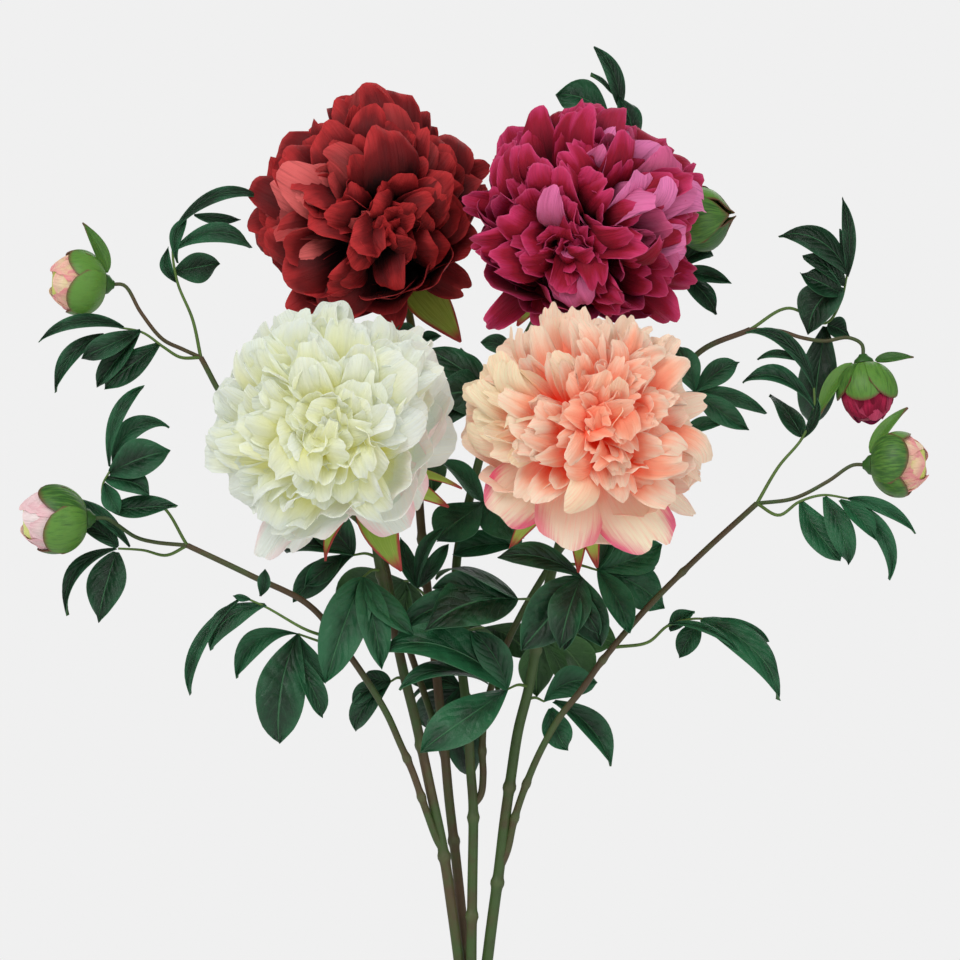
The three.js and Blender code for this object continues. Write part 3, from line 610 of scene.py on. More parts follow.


# ---- Where the flowers are ----------------------------------------------------------------------
# `axis` runs from the calyx through the middle of the head, and `heart` is where the petals open.
# `press` points at a neighbouring head: tips that way are `by` shorter and `dodge` further back.
# `pale_and_lit` points to the palest petals, which are partly paler cloth and partly painted
# highlight on lit petals, most of all on the red and magenta heads, and `pale_and_lit_share` is
# how much paler they are. `dents` are directions in which the outline falls in, with their depths,
# and `lumps` sets how it undulates.
# `sepals` hang below it: tip and width. `strays` are the petals that stand out of the outline:
# tip, width and how far their margin has the finish's blush.
HEAD_REACH = 50
NECK = 9
HEADS = {
    "white": dict(
        centre=(-84, -75, 546), axis=(-0.42, -0.72, 0.5), heart=(-0.13, -0.99, 0.0),
        press=(1, 0, 0), by=0.02, dodge=0, pale_and_lit=(1, -0.3, 0.4), lumps=1.0,
        sepals=[(-43, -54, 459, 26), (-88, -60, 465, 15), (-15, -52, 497, 12), (-7, -50, 508, 7)],
        strays=[(-127, -72, 467, 22, 0.5), (-112, -74, 472, 26, 0.2), (-10, -62, 537, 34, 0.1),
                (-14, -58, 568, 32, 0.0), (-30, -66, 517, 28, 0.3), (-32, -74, 496, 34, 1.0),
                (-43, -82, 482, 36, 1.0), (-152, -70, 528, 26, 0.0), (-84, -74, 619, 30, 0.0)],
    ),
    "red": dict(
        centre=(-61, 48, 677), axis=(-0.31, -0.66, 0.68), heart=(0.12, -0.97, -0.2),
        press=(1, 0, 0), by=0.06, dodge=16, pale_and_lit=(-1, -0.5, 0.1), lumps=2.2,
        dents=[((-0.6, -0.1, 0.79), 10), ((0.64, -0.1, 0.77), 9)], pale_and_lit_share=0.2,
        sepals=[(-8, 68, 597, 26), (-50, 64, 603, 14)],
        strays=[(10, 68, 705, 18, 0), (9, 70, 690, 18, 0), (-131, 40, 657, 24, 0),
                (-76, 44, 745, 16, 0), (-45, 46, 746, 26, 0), (-49, 44, 603, 18, 0),
                (-3, 66, 628, 24, 0), (-112, 40, 614, 26, 0), (-88, 36, 606, 24, 0)],
    ),
    "coral": dict(
        centre=(66, -75, 545), axis=(0.1, -0.86, 0.46), heart=(0.17, -0.97, 0.14), press=(-1, 0, 0),
        by=0.02, dodge=0, pale_and_lit=(-1, -0.1, 0.3), lumps=0.3,
        sepals=[(21, -48, 471, 15), (62, -54, 458, 14), (73, -54, 461, 17)],
        strays=[(13, -92, 492, 42, 1.0), (54, -108, 473, 42, 0.8), (109, -96, 472, 44, 1.0),
                (131, -62, 492, 13, 0.2), (46, -78, 618, 15, 0), (92, -74, 611, 17, 0),
                (-5, -74, 556, 18, 0), (138, -74, 560, 18, 0), (120, -72, 598, 16, 0)],
    ),
    "magenta": dict(
        centre=(66, 8, 671), axis=(0.26, -0.76, 0.56), heart=(-0.14, -0.95, -0.28),
        press=(-1, 0, 0), by=0.04, dodge=-16, pale_and_lit=(0.6, -0.6, 0.55), lumps=3.1,
        dents=[((0.45, -0.1, 0.89), 12), ((0.74, -0.1, 0.66), 9)],
        sepals=[(26, 30, 606, 15), (72, 30, 598, 18)],
        strays=[(7, 0, 604, 19, 0), (-8, -14, 681, 18, 0), (70, 6, 740, 32, 0),
                (139, 8, 693, 26, 0), (134, 6, 632, 26, 0), (122, -2, 608, 26, 0),
                (40, -2, 603, 22, 0), (-3, -12, 655, 16, 0)],
    ),
}
for head in HEADS.values():
    head["centre"] = Vector(head["centre"])
    for key in ("axis", "heart", "press", "pale_and_lit"):
        head[key] = Vector(head[key]).normalized()
    head["calyx"] = head["centre"] - HEAD_REACH * head["axis"]

BUDS = {
    "bud_white": dict(
        base=(-229, -24, 490), axis=(-1, -0.1, -0.02), radius=19, length=43, finish="blush_bud",
        slot="pale_bud", cover=0.76,
    ),
    "bud_red": dict(
        base=(-220, 28, 631), axis=(-1, -0.15, 0.06), radius=18, length=37, finish="pale_bud",
        slot="pale_bud", bracts=[(-236, 24, 668, 11)], cover=0.77,
    ),
    "bud_magenta": dict(
        base=(235, 30, 586), axis=(0.1, -0.12, -1), radius=16, length=40, finish="crimson_bud",
        slot="crimson_bud", bracts=[(265, 24, 587, 7), (208, 28, 551, 14)], cover=0.68,
    ),
    "bud_coral": dict(
        base=(235, -25, 522), axis=(1, -0.15, 0.02), radius=18, length=37, finish="pale_bud",
        slot="pale_bud", bracts=[(259, -26, 556, 11)], cover=0.8,
    ),
    "bud_top": dict(
        base=(122, 88, 670), axis=(1, -0.2, 0.12), radius=18, length=36, finish="crimson_bud",
        slot="crimson_bud", cover=1.2, inside=0.74, flare=-4,
    ),
}
for bud in BUDS.values():
    bud["base"], bud["axis"] = Vector(bud["base"]), Vector(bud["axis"]).normalized()


# ---- Stems --------------------------------------------------------------------------------------
# `bare` is how brown the bark is, and `knots` are shares of the length.
FLOOR = VASE_FLOOR + 0.3
STEMS = {
    "white": dict(
        main=[(-9, -2, FLOOR), (-8, -1.5, 100), (-5.5, -0.5, 195), (-9, -1.5, 225),
              (-13.5, -2, 258), (-18.5, -3, 291), (-26, -5, 327), (-35, -8, 369), (-41, -10, 393),
              (-49, -12, 429), (-56, -14, 459), (-60, -15, 487), (-60, -19, 502)],
        radii=(3.7, 2.7), bare=0.15, knots=(0.4, 0.53, 0.66, 0.86),
        branches=[
            dict(path=[(-18.5, -3, 291), (-22, -5, 297), (-28, -7, 313), (-37, -12, 339),
                       (-44, -16, 355), (-53, -20, 375), (-74, -26, 408), (-98, -30, 438),
                       (-133, -30, 456), (-171, -28, 474)],
                 radii=(2.3, 1.7), knots=(0.14, 0.24, 0.62)),
            dict(path=[(-171, -28, 474), (-191, -27, 476), (-202, -26, 479), (-214, -25, 487)],
                 bud="bud_white"),
        ],
    ),
    "red": dict(
        main=[(0, 10, FLOOR), (-1, 9, 100), (-2, 7.5, 195), (-5, 7.5, 225), (-8, 8, 258),
              (-11.5, 9, 291), (-15, 10, 321), (-17.5, 12, 348), (-21, 14, 381), (-26, 18, 429),
              (-30, 22, 465), (-33, 29, 500), (-34, 40, 531), (-35, 61, 573), (-38, 79, 605),
              (-41, 87, 622)],
        radii=(3.5, 2.4), bare=0.6, knots=(0.34, 0.44, 0.72, 0.8),
        branches=[
            dict(path=[(-17, 12, 342), (-22, 17, 360), (-36, 24, 402), (-48, 28, 437),
                       (-56, 30, 469), (-76, 32, 495), (-104, 33, 520), (-130, 33, 541),
                       (-149, 33, 559), (-165, 33, 587)],
                 radii=(2.2, 1.7), knots=(0.3, 0.55)),
            dict(path=[(-165, 33, 587), (-176, 32, 592), (-188, 31, 598), (-201, 30, 614)],
                 bud="bud_red"),
        ],
    ),
    "coral": dict(
        main=[(9, 2, FLOOR), (7, 1.5, 100), (4.5, 0, 195), (8, -1, 225), (11, -2, 249),
              (15, -3, 279), (18.5, -4, 309), (22, -5, 334), (26.5, -6, 363), (32.5, -7, 387),
              (37, -8, 411), (44, -9, 447), (51, -10, 474), (58, -11, 497)],
        radii=(4, 2.8), knots=(0.4, 0.5, 0.61, 0.77),
        branches=[
            dict(path=[(15, -3, 279), (20, -4, 291), (24, -5, 309), (31, -7, 330), (40, -9, 351),
                       (52, -11, 372), (64, -13, 387), (76, -15, 404), (102, -18, 435),
                       (134, -20, 467), (169, -22, 499)],
                 radii=(2.3, 1.7), knots=(0.12, 0.2, 0.52, 0.78)),
            dict(path=[(169, -22, 499), (191, -23, 502), (211, -24, 512)], bud="bud_coral"),
        ],
    ),
    "magenta": dict(
        main=[(0, -10, FLOOR), (-1, -9, 100), (-1, -7.5, 195), (-1.5, -6, 225), (-1, -5, 267),
              (-0.5, -3, 318), (-2, 0, 339), (-4, 4, 372), (-8, 10, 405), (-11, 18, 441),
              (-10, 26, 468), (-5, 32, 492), (10, 42, 549), (24, 50, 585), (38, 57, 612)],
        radii=(3.6, 2.4), knots=(0.37, 0.46, 0.73),
        branches=[
            dict(path=[(-0.5, -3, 318), (4, -1, 324), (5.5, 2, 336), (5, 6, 350), (7, 12, 375),
                       (20, 22, 415), (45, 30, 460), (80, 34, 510), (112, 36, 556), (136, 37, 590),
                       (167, 37, 604)],
                 radii=(2.2, 1.7), knots=(0.1, 0.84)),
            dict(path=[(167, 37, 604), (185, 36, 603), (198, 35, 599), (212, 34, 597),
                       (226, 33, 599)], bud="bud_magenta"),
            dict(path=[(17, 46.5, 568), (34, 72, 588), (66, 94, 612), (94, 96, 644)],
                 bud="bud_top"),
        ],
    ),
}
BUD_STALK_RADII = (1.3, 1.15)
BRANCH_BARE = 0.3  # how much brown bark a side branch has
BUD_STALK_BARE = 0.05


def end_under(flower, place):
    """The last two points of a stem under a calyx at `place`, in line with the flower."""
    return [place - NECK * flower["axis"], place - 0.6 * flower["axis"]]


def make_stem(name, stem):
    head = HEADS[name]
    path = stem["main"] + end_under(head, head["calyx"])
    pieces = [tube(f"{name}_stalk", path, stem["radii"], -stem.get("bare", 0), stem["knots"])]
    for i, branch in enumerate(stem["branches"]):
        path, bare = branch["path"], BRANCH_BARE
        if "bud" in branch:
            bud = BUDS[branch["bud"]]
            path, bare = path + end_under(bud, bud["base"]), BUD_STALK_BARE
        radii, knots = branch.get("radii", BUD_STALK_RADII), branch.get("knots", ())
        pieces.append(tube(f"{name}_side_{i}", path, radii, -bare, knots, resolution=3))
    hand_over(joined(pieces), f"{name}_stem")


# ---- Leaves -------------------------------------------------------------------------------------
# A leaf hangs on a stalk from `root` by `by` to `hub`, and may have `ribs` beyond it. Each of its
# leaflets has a tip, a width and, where they differ, the place it starts from and its sideways
# sway.
LEAVES = {
    "white_leaf_fork_upper": dict(root=(-171, -28, 474), by=(-188, -36, 499), hub=(-220, -38, 502),
        ribs=[(-221, -38, 510), (-217, -38, 518)], tips=[
        (-197, -36, 568, 9.5, (-217, -38, 521), -0.13),
        (-182, -30, 544, 15, (-215, -36, 523), -0.15),
        (-181, -42, 530, 26, (-217, -38, 517), -0.05), (-193, -50, 504, 19, (-219, -38, 514), -0.1),
        (-211, -48, 493, 13, (-220, -38, 511), 0.05), (-177, -44, 497, 18, (-217, -38, 496), 0.1)]),
    "white_leaf_fork_lower": dict(root=(-171, -28, 474), by=(-184, -20, 468), hub=(-198, -14, 471),
        ribs=[(-213, -14, 472)], tips=[
        (-236, -6, 501, 9, (-206, -12, 473), 0), (-237, -6, 487, 14, (-213, -13, 473), 0),
        (-243, -14, 432, 11, (-214, -14, 472), 0.2), (-224, -20, 428, 27, (-214, -16, 470), 0.03)]),
    "white_leaf_outer": dict(root=(-82, -27.5, 418), by=(-100, -42, 424), hub=(-123, -42, 437),
        ribs=[(-136, -44, 443)], tips=[
        (-143, -46, 444, 5, (-133, -44, 442), 0), (-124, -52, 460, 9, (-127, -46, 444), 0.1),
        (-156, -48, 412, 17, (-124, -42, 439), 0.08), (-169, -40, 385, 9, (-138, -44, 443), 0.12)]),
    "white_leaf_drooping": dict(root=(-74, -26, 408), by=(-86, -18, 414),
        hub=(-105, -20, 421), tips=[
        (-141, -30, 395, 15, None, 0.22), (-116, -30, 356, 31, None, 0.06), (-89, -14, 392, 12)]),
    "white_leaf_front": dict(root=(-56, -14, 459), hub=(-66, -34, 455), tips=[
        (-88, -46, 393, 28, None, 0.06), (-55, -48, 401, 20, None, 0.04), (-36, -44, 420, 20)]),
    "white_leaf_left": dict(root=(-57, -14.5, 466), hub=(-72, -6, 468), tips=[
        (-113, -8, 470, 29), (-98, 0, 495, 24), (-108, -12, 440, 18)]),
    "white_leaf_low": dict(root=(-41, -10, 393), hub=(-50, 4, 392), tips=[
        (-72, 8, 378, 12, None, 0.1), (-71, 12, 362, 16, None, 0.04), (-66, 2, 396, 12)]),
    "red_leaf_fork_upper": dict(root=(-165, 33, 587), by=(-170, 33, 610), hub=(-179, 33, 632),
        ribs=[(-182, 33, 651), (-180, 33, 665)], tips=[
        (-127, 34, 683, 11, (-181, 33, 664), -0.14), (-141, 28, 670, 8, (-169, 32, 673), 0.04),
        (-134, 22, 653, 14, (-182, 33, 651), -0.12), (-154, 44, 644, 21, (-181, 38, 639), 0),
        (-185, 40, 653, 8, (-179, 34, 632), -0.15), (-173, 34, 673, 9, (-179, 33, 644), -0.15)]),
    "red_leaf_fork_lower": dict(root=(-165, 33, 587), by=(-177, 28, 587), hub=(-187, 24, 593),
        ribs=[(-200, 24, 602), (-214, 24, 605)], tips=[
        (-222, 20, 568, 22, (-190, 24, 595), -0.1), (-227, 22, 569, 15, (-202, 24, 602), -0.05),
        (-236, 16, 586, 16, (-201, 22, 603), -0.05), (-252, 24, 566, 12, (-223, 24, 601), 0.08),
        (-262, 18, 596, 9.5, (-211, 24, 605), 0.1)]),
    "red_leaf_upright": dict(root=(-27, 19, 437), hub=(-34, 6, 448), tips=[
        (-16, -4, 485, 10), (-16, 2, 474, 10), (-44, 6, 478, 12)]),
    "red_leaf_top": dict(root=(-37, 73, 595), hub=(-34, 60, 598), tips=[
        (-20, 48, 600, 8), (-48, 40, 604, 12), (-60, 52, 594, 14)]),
    "coral_leaf_low_left": dict(root=(33, -7, 389), hub=(20, -24, 388), tips=[
        (-56, -40, 410, 32, None, 0.06), (-32, -52, 351, 30, None, -0.05),
        (-2, -34, 423, 20, None, 0.05)]),
    "coral_leaf_low_right": dict(root=(31, -6.7, 381), hub=(42, 4, 380), tips=[
        (56, -4, 351, 20, (46, 2, 376), 0.06), (82, 6, 341, 20, (48, 6, 380), -0.1),
        (74, 14, 391, 20, None, -0.1)]),
    "coral_leaf_mid_left": dict(root=(42, -8.7, 437), hub=(26, -30, 442), tips=[
        (-29, -52, 423, 38, None, 0.08), (-44, -26, 418, 20), (-23, -20, 454, 20)]),
    "coral_leaf_front_right": dict(root=(45, -9.1, 451), hub=(64, -40, 455), tips=[
        (14, -56, 467, 18, None, 0.08), (28, -62, 412, 32, None, -0.06),
        (51, -66, 413, 26, None, -0.04), (76, -52, 415, 24)]),
    "coral_leaf_right": dict(root=(48, -9.6, 462), hub=(74, -14, 459), tips=[
        (92, -22, 422, 18, None, -0.08), (114, -4, 436, 28, None, -0.06), (112, -2, 474, 24),
        (86, -12, 488, 18)]),
    "coral_leaf_fork_upper": dict(root=(169, -22, 499), by=(182, -22, 521), hub=(196, -24, 538),
        ribs=[(203, -24, 555), (203, -24, 568)], tips=[
        (162, -28, 601, 11, (203, -24, 568), 0.2), (169, -26, 585, 7, (194, -25, 584), 0.1),
        (160, -36, 571, 15, (203, -26, 556), 0.15), (177, -14, 564, 26, (196, -22, 539), 0),
        (205, -22, 562, 8, (195, -22, 537), 0.15)]),
    "coral_leaf_fork_lower": dict(root=(169, -22, 499), by=(182, -30, 492), hub=(194, -30, 500),
        ribs=[(208, -32, 504), (223, -32, 502)], tips=[
        (218, -36, 465, 22, (195, -30, 500), 0.1), (223, -34, 463, 17, (209, -32, 503), -0.05),
        (238, -44, 478, 15, (218, -36, 501), 0.05), (247, -34, 454, 12, (224, -34, 500), -0.12),
        (263, -34, 481, 10, (223, -32, 502), -0.06)]),
    "coral_leaf_outer": dict(root=(84, -16, 413), by=(104, -18, 416), hub=(116, -20, 426),
        ribs=[(130, -22, 430), (140, -24, 430)], tips=[
        (181, -26, 382, 24, (136, -24, 430), -0.12), (158, -38, 410, 6, (116, -22, 427), -0.08),
        (175, -18, 416, 7, (143, -24, 430), -0.08), (123, -20, 407, 16, (134, -20, 427), 0),
        (132, -18, 434, 12, (117, -18, 423), -0.1)]),
    "magenta_leaf_low": dict(root=(-4, 4, 372), hub=(-8, 28, 388), tips=[
        (0, 30, 336, 26), (-28, 48, 362, 24), (-40, 46, 394, 22)]),
    "magenta_leaf_back_low": dict(root=(-9, 13, 418), hub=(6, 32, 424), face=BACK, tips=[
        (34, 48, 404, 24), (14, 58, 384, 30), (-18, 52, 402, 24)]),
    "magenta_leaf_centre": dict(root=(-5, 32, 492), hub=(6, 18, 500), tips=[
        (-22, 10, 524, 24), (-22, 4, 476, 32), (30, 2, 478, 26),
        (-12, 24, 468, 20, (26, 26, 474), 0.05), (28, 28, 470, 16)]),
    "magenta_leaf_between": dict(root=(10, 42, 549), hub=(14, 26, 562), tips=[
        (-29, 22, 592, 22), (-22, 12, 562, 30), (-24, 22, 538, 20)]),
    "magenta_leaf_right": dict(root=(115, 36, 560), hub=(133, 24, 566), tips=[
        (160, 26, 584, 16), (176, 20, 553, 11), (165, 14, 543, 16), (122, 22, 594, 18)]),
    "magenta_leaf_under": dict(root=(104, 35.7, 545), hub=(124, 22, 540), tips=[
        (148, 12, 546, 12), (142, 8, 525, 18), (110, 8, 512, 22)]),
    "magenta_leaf_fork": dict(root=(167, 37, 604), by=(190, 42, 617), hub=(213, 46, 608),
        ribs=[(222, 46, 621), (226, 44, 638)], tips=[
        (184, 34, 660, 20, (226, 42, 638), 0.13), (199, 36, 647, 15, (224, 42, 631), 0.05),
        (202, 38, 601, 28, (222, 40, 630), 0.15), (198, 34, 637, 20, (223, 40, 625), -0.05),
        (223, 44, 684, 9, (226, 44, 636), 0.1), (222, 50, 665, 6, (225, 46, 640), 0),
        (227, 52, 600, 16, (214, 46, 607), -0.1), (205, 66, 547, 26, (213, 50, 606), 0.05)]),
    "magenta_leaf_bud": dict(root=(94, 96, 644), hub=(122, 96, 640), tips=[
        (157, 88, 633, 11), (148, 86, 614, 17), (146, 102, 650, 14)]),
    "magenta_leaf_crown": dict(root=(66, 94, 612), by=(84, 108, 664), hub=(94, 88, 706),
        ribs=[(92, 84, 728), (88, 80, 744)], tips=[
        (73, 80, 777, 13, (89, 80, 740), 0.1), (71, 72, 760, 7, (86, 78, 747), 0),
        (50, 76, 747, 25, (82, 82, 733), 0.12), (88, 78, 746, 17, (96, 84, 713), 0.1)]),
    "magenta_leaf_stem": dict(root=(20, 48, 575), hub=(24, 30, 590), tips=[
        (4, 20, 596, 12), (12, 26, 574, 14)]),
    "red_leaf_back": dict(root=(-34, 40, 531), hub=(-42, 60, 536), face=BACK, tips=[
        (-86, 74, 542, 30), (-60, 88, 498, 32), (-26, 86, 504, 26)]),
    "red_leaf_back_low": dict(root=(-28, 20, 447), hub=(-42, 42, 452), face=BACK, tips=[
        (-84, 54, 440, 28), (-62, 66, 410, 32), (-34, 62, 412, 24)]),
    "coral_leaf_back": dict(root=(38.8, -8.2, 421), hub=(42, 12, 420), face=BACK, tips=[
        (86, 18, 414, 24), (70, 36, 388, 28), (38, 40, 382, 24)]),
}
LEAFLET_BLANK = Blank(10, 18)
LEAF_THICKNESS = 0.4
LEAF_STALK_RADII = (1.1, 0.66)
LEAF_STALK_YOUNG = 0.9  # 1 is the palest green
STALK_ARCH = Vector((0, 0, 2))  # how far a short leaf stalk rises in its middle
NARROW_BASE, BROAD_BASE = 0.05, 0.14  # shares of the width where a leaflet starts
LOBED_FROM = 21  # the width from which a leaflet may have a side lobe
LOBED_SHARE = 0.45


def leaflet_outline(widest, base, fullness):
    """Half widths along a leaflet: a short stalk, the widest place, and a drawn-out point."""
    power = math.log(0.5) / math.log(widest)

    def outline(v):
        full = np.sin(math.pi * np.clip(v, 0, 1) ** power) ** fullness
        drawn_out = np.clip((v - 0.86) / 0.14, 0, 1)
        return base * (1 - v) + (1 - base) * full * (1 - 0.35 * drawn_out)
    return outline


def add_leaflet(sheaf, draw, root, tip, facing, width, tone, widest, base, sway=0, free=1):
    """One leaflet; `free` is how far it may turn about its own length."""
    outline = leaflet_outline(widest, base, draw.uniform(0.7, 1))
    shape = drawn(draw, dict(
        bend=(-0.4, -1.2), curl=(0, -0.9), curl_from=0.55, cup=(-0.15, 0.25), fold=(0.1, 0.22),
        ruffle=(0.7, 2), waves=(1, 1.8), phase=(0, 6), roll=(-0.45 * free, 0.55 * free),
        twist=(-0.7 * free, 0.7 * free), sway=(sway - 0.09 * free, sway + 0.09 * free),
    ))
    points = bend_sheet(LEAFLET_BLANK, root, tip, facing, width, outline, **shape)
    sheaf.add(LEAFLET_BLANK, points, tone=tone)


def make_leaf(name, leaf, draw):
    root, hub = Vector(leaf["root"]), Vector(leaf["hub"])
    facing, ribs = leaf.get("face", FRONT), leaf.get("ribs", ())
    by = Vector(leaf["by"]) if "by" in leaf else (root + hub) / 2 + STALK_ARCH
    sheaf = Sheaf()
    leaf_tone = draw.random()
    for x, y, z, width, *own in leaf["tips"]:
        tip = Vector((x, y, z))
        tone = 0.7 * leaf_tone + 0.3 * draw.random()
        start, sway = own or (None, 0)
        start, base = (Vector(start), BROAD_BASE) if start else (hub, NARROW_BASE)
        add_leaflet(sheaf, draw, start, tip, facing, width, tone, draw.uniform(0.46, 0.62), base,
                    sway, free=0.5 if sway else 1)
        if width >= LOBED_FROM and not ribs and draw.random() < LOBED_SHARE:
            way = tip - hub
            side = way.cross(facing).normalized() * draw.choice((-1, 1))
            end = hub + way * draw.uniform(0.66, 0.82) + side * width * draw.uniform(0.6, 0.8)
            add_leaflet(sheaf, draw, hub + way * 0.15, end, facing, width * 0.5, tone, 0.62, 0.1)
    blades = sheaf.piece(f"{name}_blades", LEAF_THICKNESS, "leaf", under="leaf_under")
    route = [root, by, hub, *ribs]
    stalk = tube(f"{name}_stalk", route, LEAF_STALK_RADII, LEAF_STALK_YOUNG, resolution=2)
    hand_over(joined([blades, stalk]), name)


# ---- Blooms -------------------------------------------------------------------------------------
# A head is a bowl of guard petals that rise from the calyx, filled with tufts of petals, one within
# the other, that fan out from below its heart and roll over at their tips. `width` and
# `heart_width` are millimetres, `peak` draws the tips out to points, `blunt` rounds them and
# `ragged` notches them. A share `domed` of the petals arch towards the viewer, their sides dropping
# by up to `dome` of their half width. The tufts start `open_from` degrees off the heart and are
# sunk by `hollow` there, and `pale_guards` is the palest that guard petals may be.
HABITS = {
    "white": dict(tufts=122, width=28, heart_width=19, ruffle=1.5, ragged=0.2, peak=0, blunt=0.22,
                  domed=0.6, dome=0.3, hollow=13, pale_guards=1, open_from=9),
    "red": dict(tufts=94, width=30, heart_width=23, ruffle=0.9, ragged=0.1, peak=0.02, blunt=0.26,
                domed=0.8, dome=0.6, hollow=15, pale_guards=0.6, open_from=6),
    "coral": dict(tufts=132, width=19, heart_width=15, ruffle=0.9, ragged=0.25, peak=0, blunt=0.26,
                  domed=0.65, dome=0.4, hollow=8, pale_guards=1, open_from=3),
    "magenta": dict(tufts=112, width=26, heart_width=18, ruffle=1.3, ragged=0.35, peak=0.03,
                    blunt=0.26, domed=0.75, dome=0.45, hollow=12, pale_guards=0.6, open_from=4),
}
HEAD_RADIUS = 72
ROOT_RADIUS = 25  # the petals start this far from the head's centre
CORE_RADIUS = 34
CORE_BACK = 8  # the core's middle lies this far behind the head's centre
TUFTS_WITHIN = 142  # degrees from the heart, within which a habit's number of tufts is counted
GUARD_ANGLE = 102  # from the axis, where the guard petals take over
BLUSHING_FROM = 0.6
HIDING_ANGLE = 21  # a tuft so close to a stray petal with a blush would hide it, and is left out
DENT_HALF_ANGLE = 0.4
OPEN_ANGLE = 75  # degrees from the heart, at which tufts have the habit's full width
OUTER_ANGLE = 100  # and at which their colour is that of the outermost
TUFT_STEP = 3.2  # each petal of a tuft ends so much further in than the one before it
TUFT_TURN = 0.12  # and so much nearer to the heart
# The head's pale side is partly paler cloth and partly painted highlight on lit petals.
PALE_AND_LIT_TONE = 0.42  # what the head's pale side adds to a tone
SPREAD = 0.66  # tufts stand closer at the heart than an even spread of 0.5 would have them
GUARD_ROWS = [
    dict(count=7, angle=116, reach=68, width=50, height=5.5),
    dict(count=8, angle=105, reach=72, width=46, height=7.5),
    dict(count=9, angle=94, reach=73, width=40, height=9.5),
]
PETAL_BLANK = Blank(9, 11)
GUARD_BLANK = Blank(16, 16)
PETAL_THICKNESS = 0.26
GOLDEN = math.pi * (3 - math.sqrt(5))


def petal_outline(claw, shoulder):
    """Half widths of a petal: a narrow claw at its root that opens into a broad blade."""
    def outline(v):
        opening = np.sin(math.pi / 2 * np.clip(v / shoulder, 0, 1)) ** 0.9
        closing = 1 - 0.14 * np.clip((v - shoulder) / (1 - shoulder), 0, 1) ** 2
        return claw + (1 - claw) * opening * closing
    return outline


def petal_edge(draw, habit):
    """How far each line of threads reaches: a round or pointed tip, at times with a notch."""
    ragged = habit["ragged"]
    notch_at, nick_at = draw.uniform(-0.4, 0.4), draw.uniform(-0.6, 0.6)
    notch = draw.choice((0, 0, 0.04, 0.12)) * (0.7 + ragged)
    nick = draw.choice((0, 0, 0.1)) * ragged
    waves, phase = draw.uniform(1.5, 2.8), draw.uniform(0, 6)
    rounding = habit["blunt"] + draw.uniform(-0.05, 0.07)
    point = habit["peak"] * draw.uniform(0, 1.6)

    def reach(u):
        tip = 1 - rounding * (1 - np.sqrt(1 - 0.97 * u**2)) - point * np.abs(u) ** 1.3
        tip = tip - notch * np.exp(-(((u - notch_at) / 0.16) ** 2))
        tip = tip - nick * np.exp(-(((u - nick_at) / 0.14) ** 2))
        return tip + 0.012 * (1 + 3 * ragged) * np.sin(waves * math.pi * u + phase)
    return reach


def petal_points(blank, habit, draw, root, tip, face, width, claw, shoulder, lean=0, **ranges):
    """The points of a petal whose shape is drawn from ranges."""
    outline = petal_outline(claw, draw.uniform(*shoulder))
    reach = petal_edge(draw, habit)
    shape = drawn(draw, ranges)
    shape["ruffle"] *= habit["ruffle"]
    shape["roll"] += lean
    return bend_sheet(blank, root, tip, face, width, outline, reach, **shape)


def from_pole(turn, angle, around):
    """The direction at an angle from the pole to which `turn` takes +Z."""
    sine = math.sin(angle)
    return turn @ Vector((sine * math.cos(around), sine * math.sin(around), math.cos(angle)))


def on_head(head, away, reach):
    """The place of a tip, a little pushed off a neighbour and with the head's lumps and dents."""
    near = max(0, away.dot(head["press"])) ** 2
    lumps = math.sin(5 * away.x + head["lumps"]) * math.sin(4 * away.z + 2 * head["lumps"])
    reach = (reach + 5 * lumps) * (1 - head["by"] * near)
    for place, depth in head.get("dents", ()):
        reach -= depth * max(0, 1 - (away.angle(Vector(place)) / DENT_HALF_ANGLE) ** 2)
    return head["centre"] + away * reach + Vector((0, head["dodge"] * near, 0))


def add_guards(sheaf, head, habit, draw):
    """The rows of broad petals on the calyx, and those that stand out of the head's outline."""
    axis = head["axis"]
    turn = UP.rotation_difference(axis)
    for r, row in enumerate(GUARD_ROWS):
        for n in range(row["count"]):
            around = 0.9 * r + math.tau * (n + draw.uniform(-0.15, 0.15)) / row["count"]
            away = from_pole(turn, math.radians(row["angle"] + draw.uniform(-5, 5)), around)
            tip = on_head(head, away, row["reach"] + draw.uniform(-5, 2))
            root = head["calyx"] + axis * row["height"] + from_pole(turn, math.pi / 2, around) * 5
            points = petal_points(
                GUARD_BLANK, habit, draw, root, tip, axis, row["width"] * draw.uniform(0.88, 1.1),
                0.2, (0.55, 0.7), bend=(0.7, 1.1), curl=(-0.9, 0.1), curl_from=0.7,
                cup=(0.2, 0.45), ruffle=(1.1, 2.64), waves=(1.2, 2.2), phase=(0, 6),
                roll=(-0.2, 0.3), twist=(-0.3, 0.3),
            )
            tone = habit["pale_guards"] * draw.random()
            sheaf.add(GUARD_BLANK, points, tone=tone, guard=0.5 - 0.2 * r, open=2)
    for x, y, z, width, blush in head["strays"]:
        tip = Vector((x, y, z))
        root = head["centre"] + (tip - head["centre"]).normalized() * ROOT_RADIUS - axis * 10
        points = petal_points(
            GUARD_BLANK, habit, draw, root, tip, head["heart"], width, 0.35, (0.6, 0.75),
            bend=(-0.3, -0.9), curl=(-0.7, 0.3), curl_from=0.7, cup=(-0.1, -0.4),
            ruffle=(1.2, 2.4), waves=(1.2, 2.2), phase=(0, 6), roll=(-0.25, 0.25),
            twist=(-0.4, 0.4), sway=(-0.06, 0.06),
        )
        tone = habit["pale_guards"] * draw.random()
        sheaf.add(GUARD_BLANK, points, tone=tone, guard=blush, open=2)


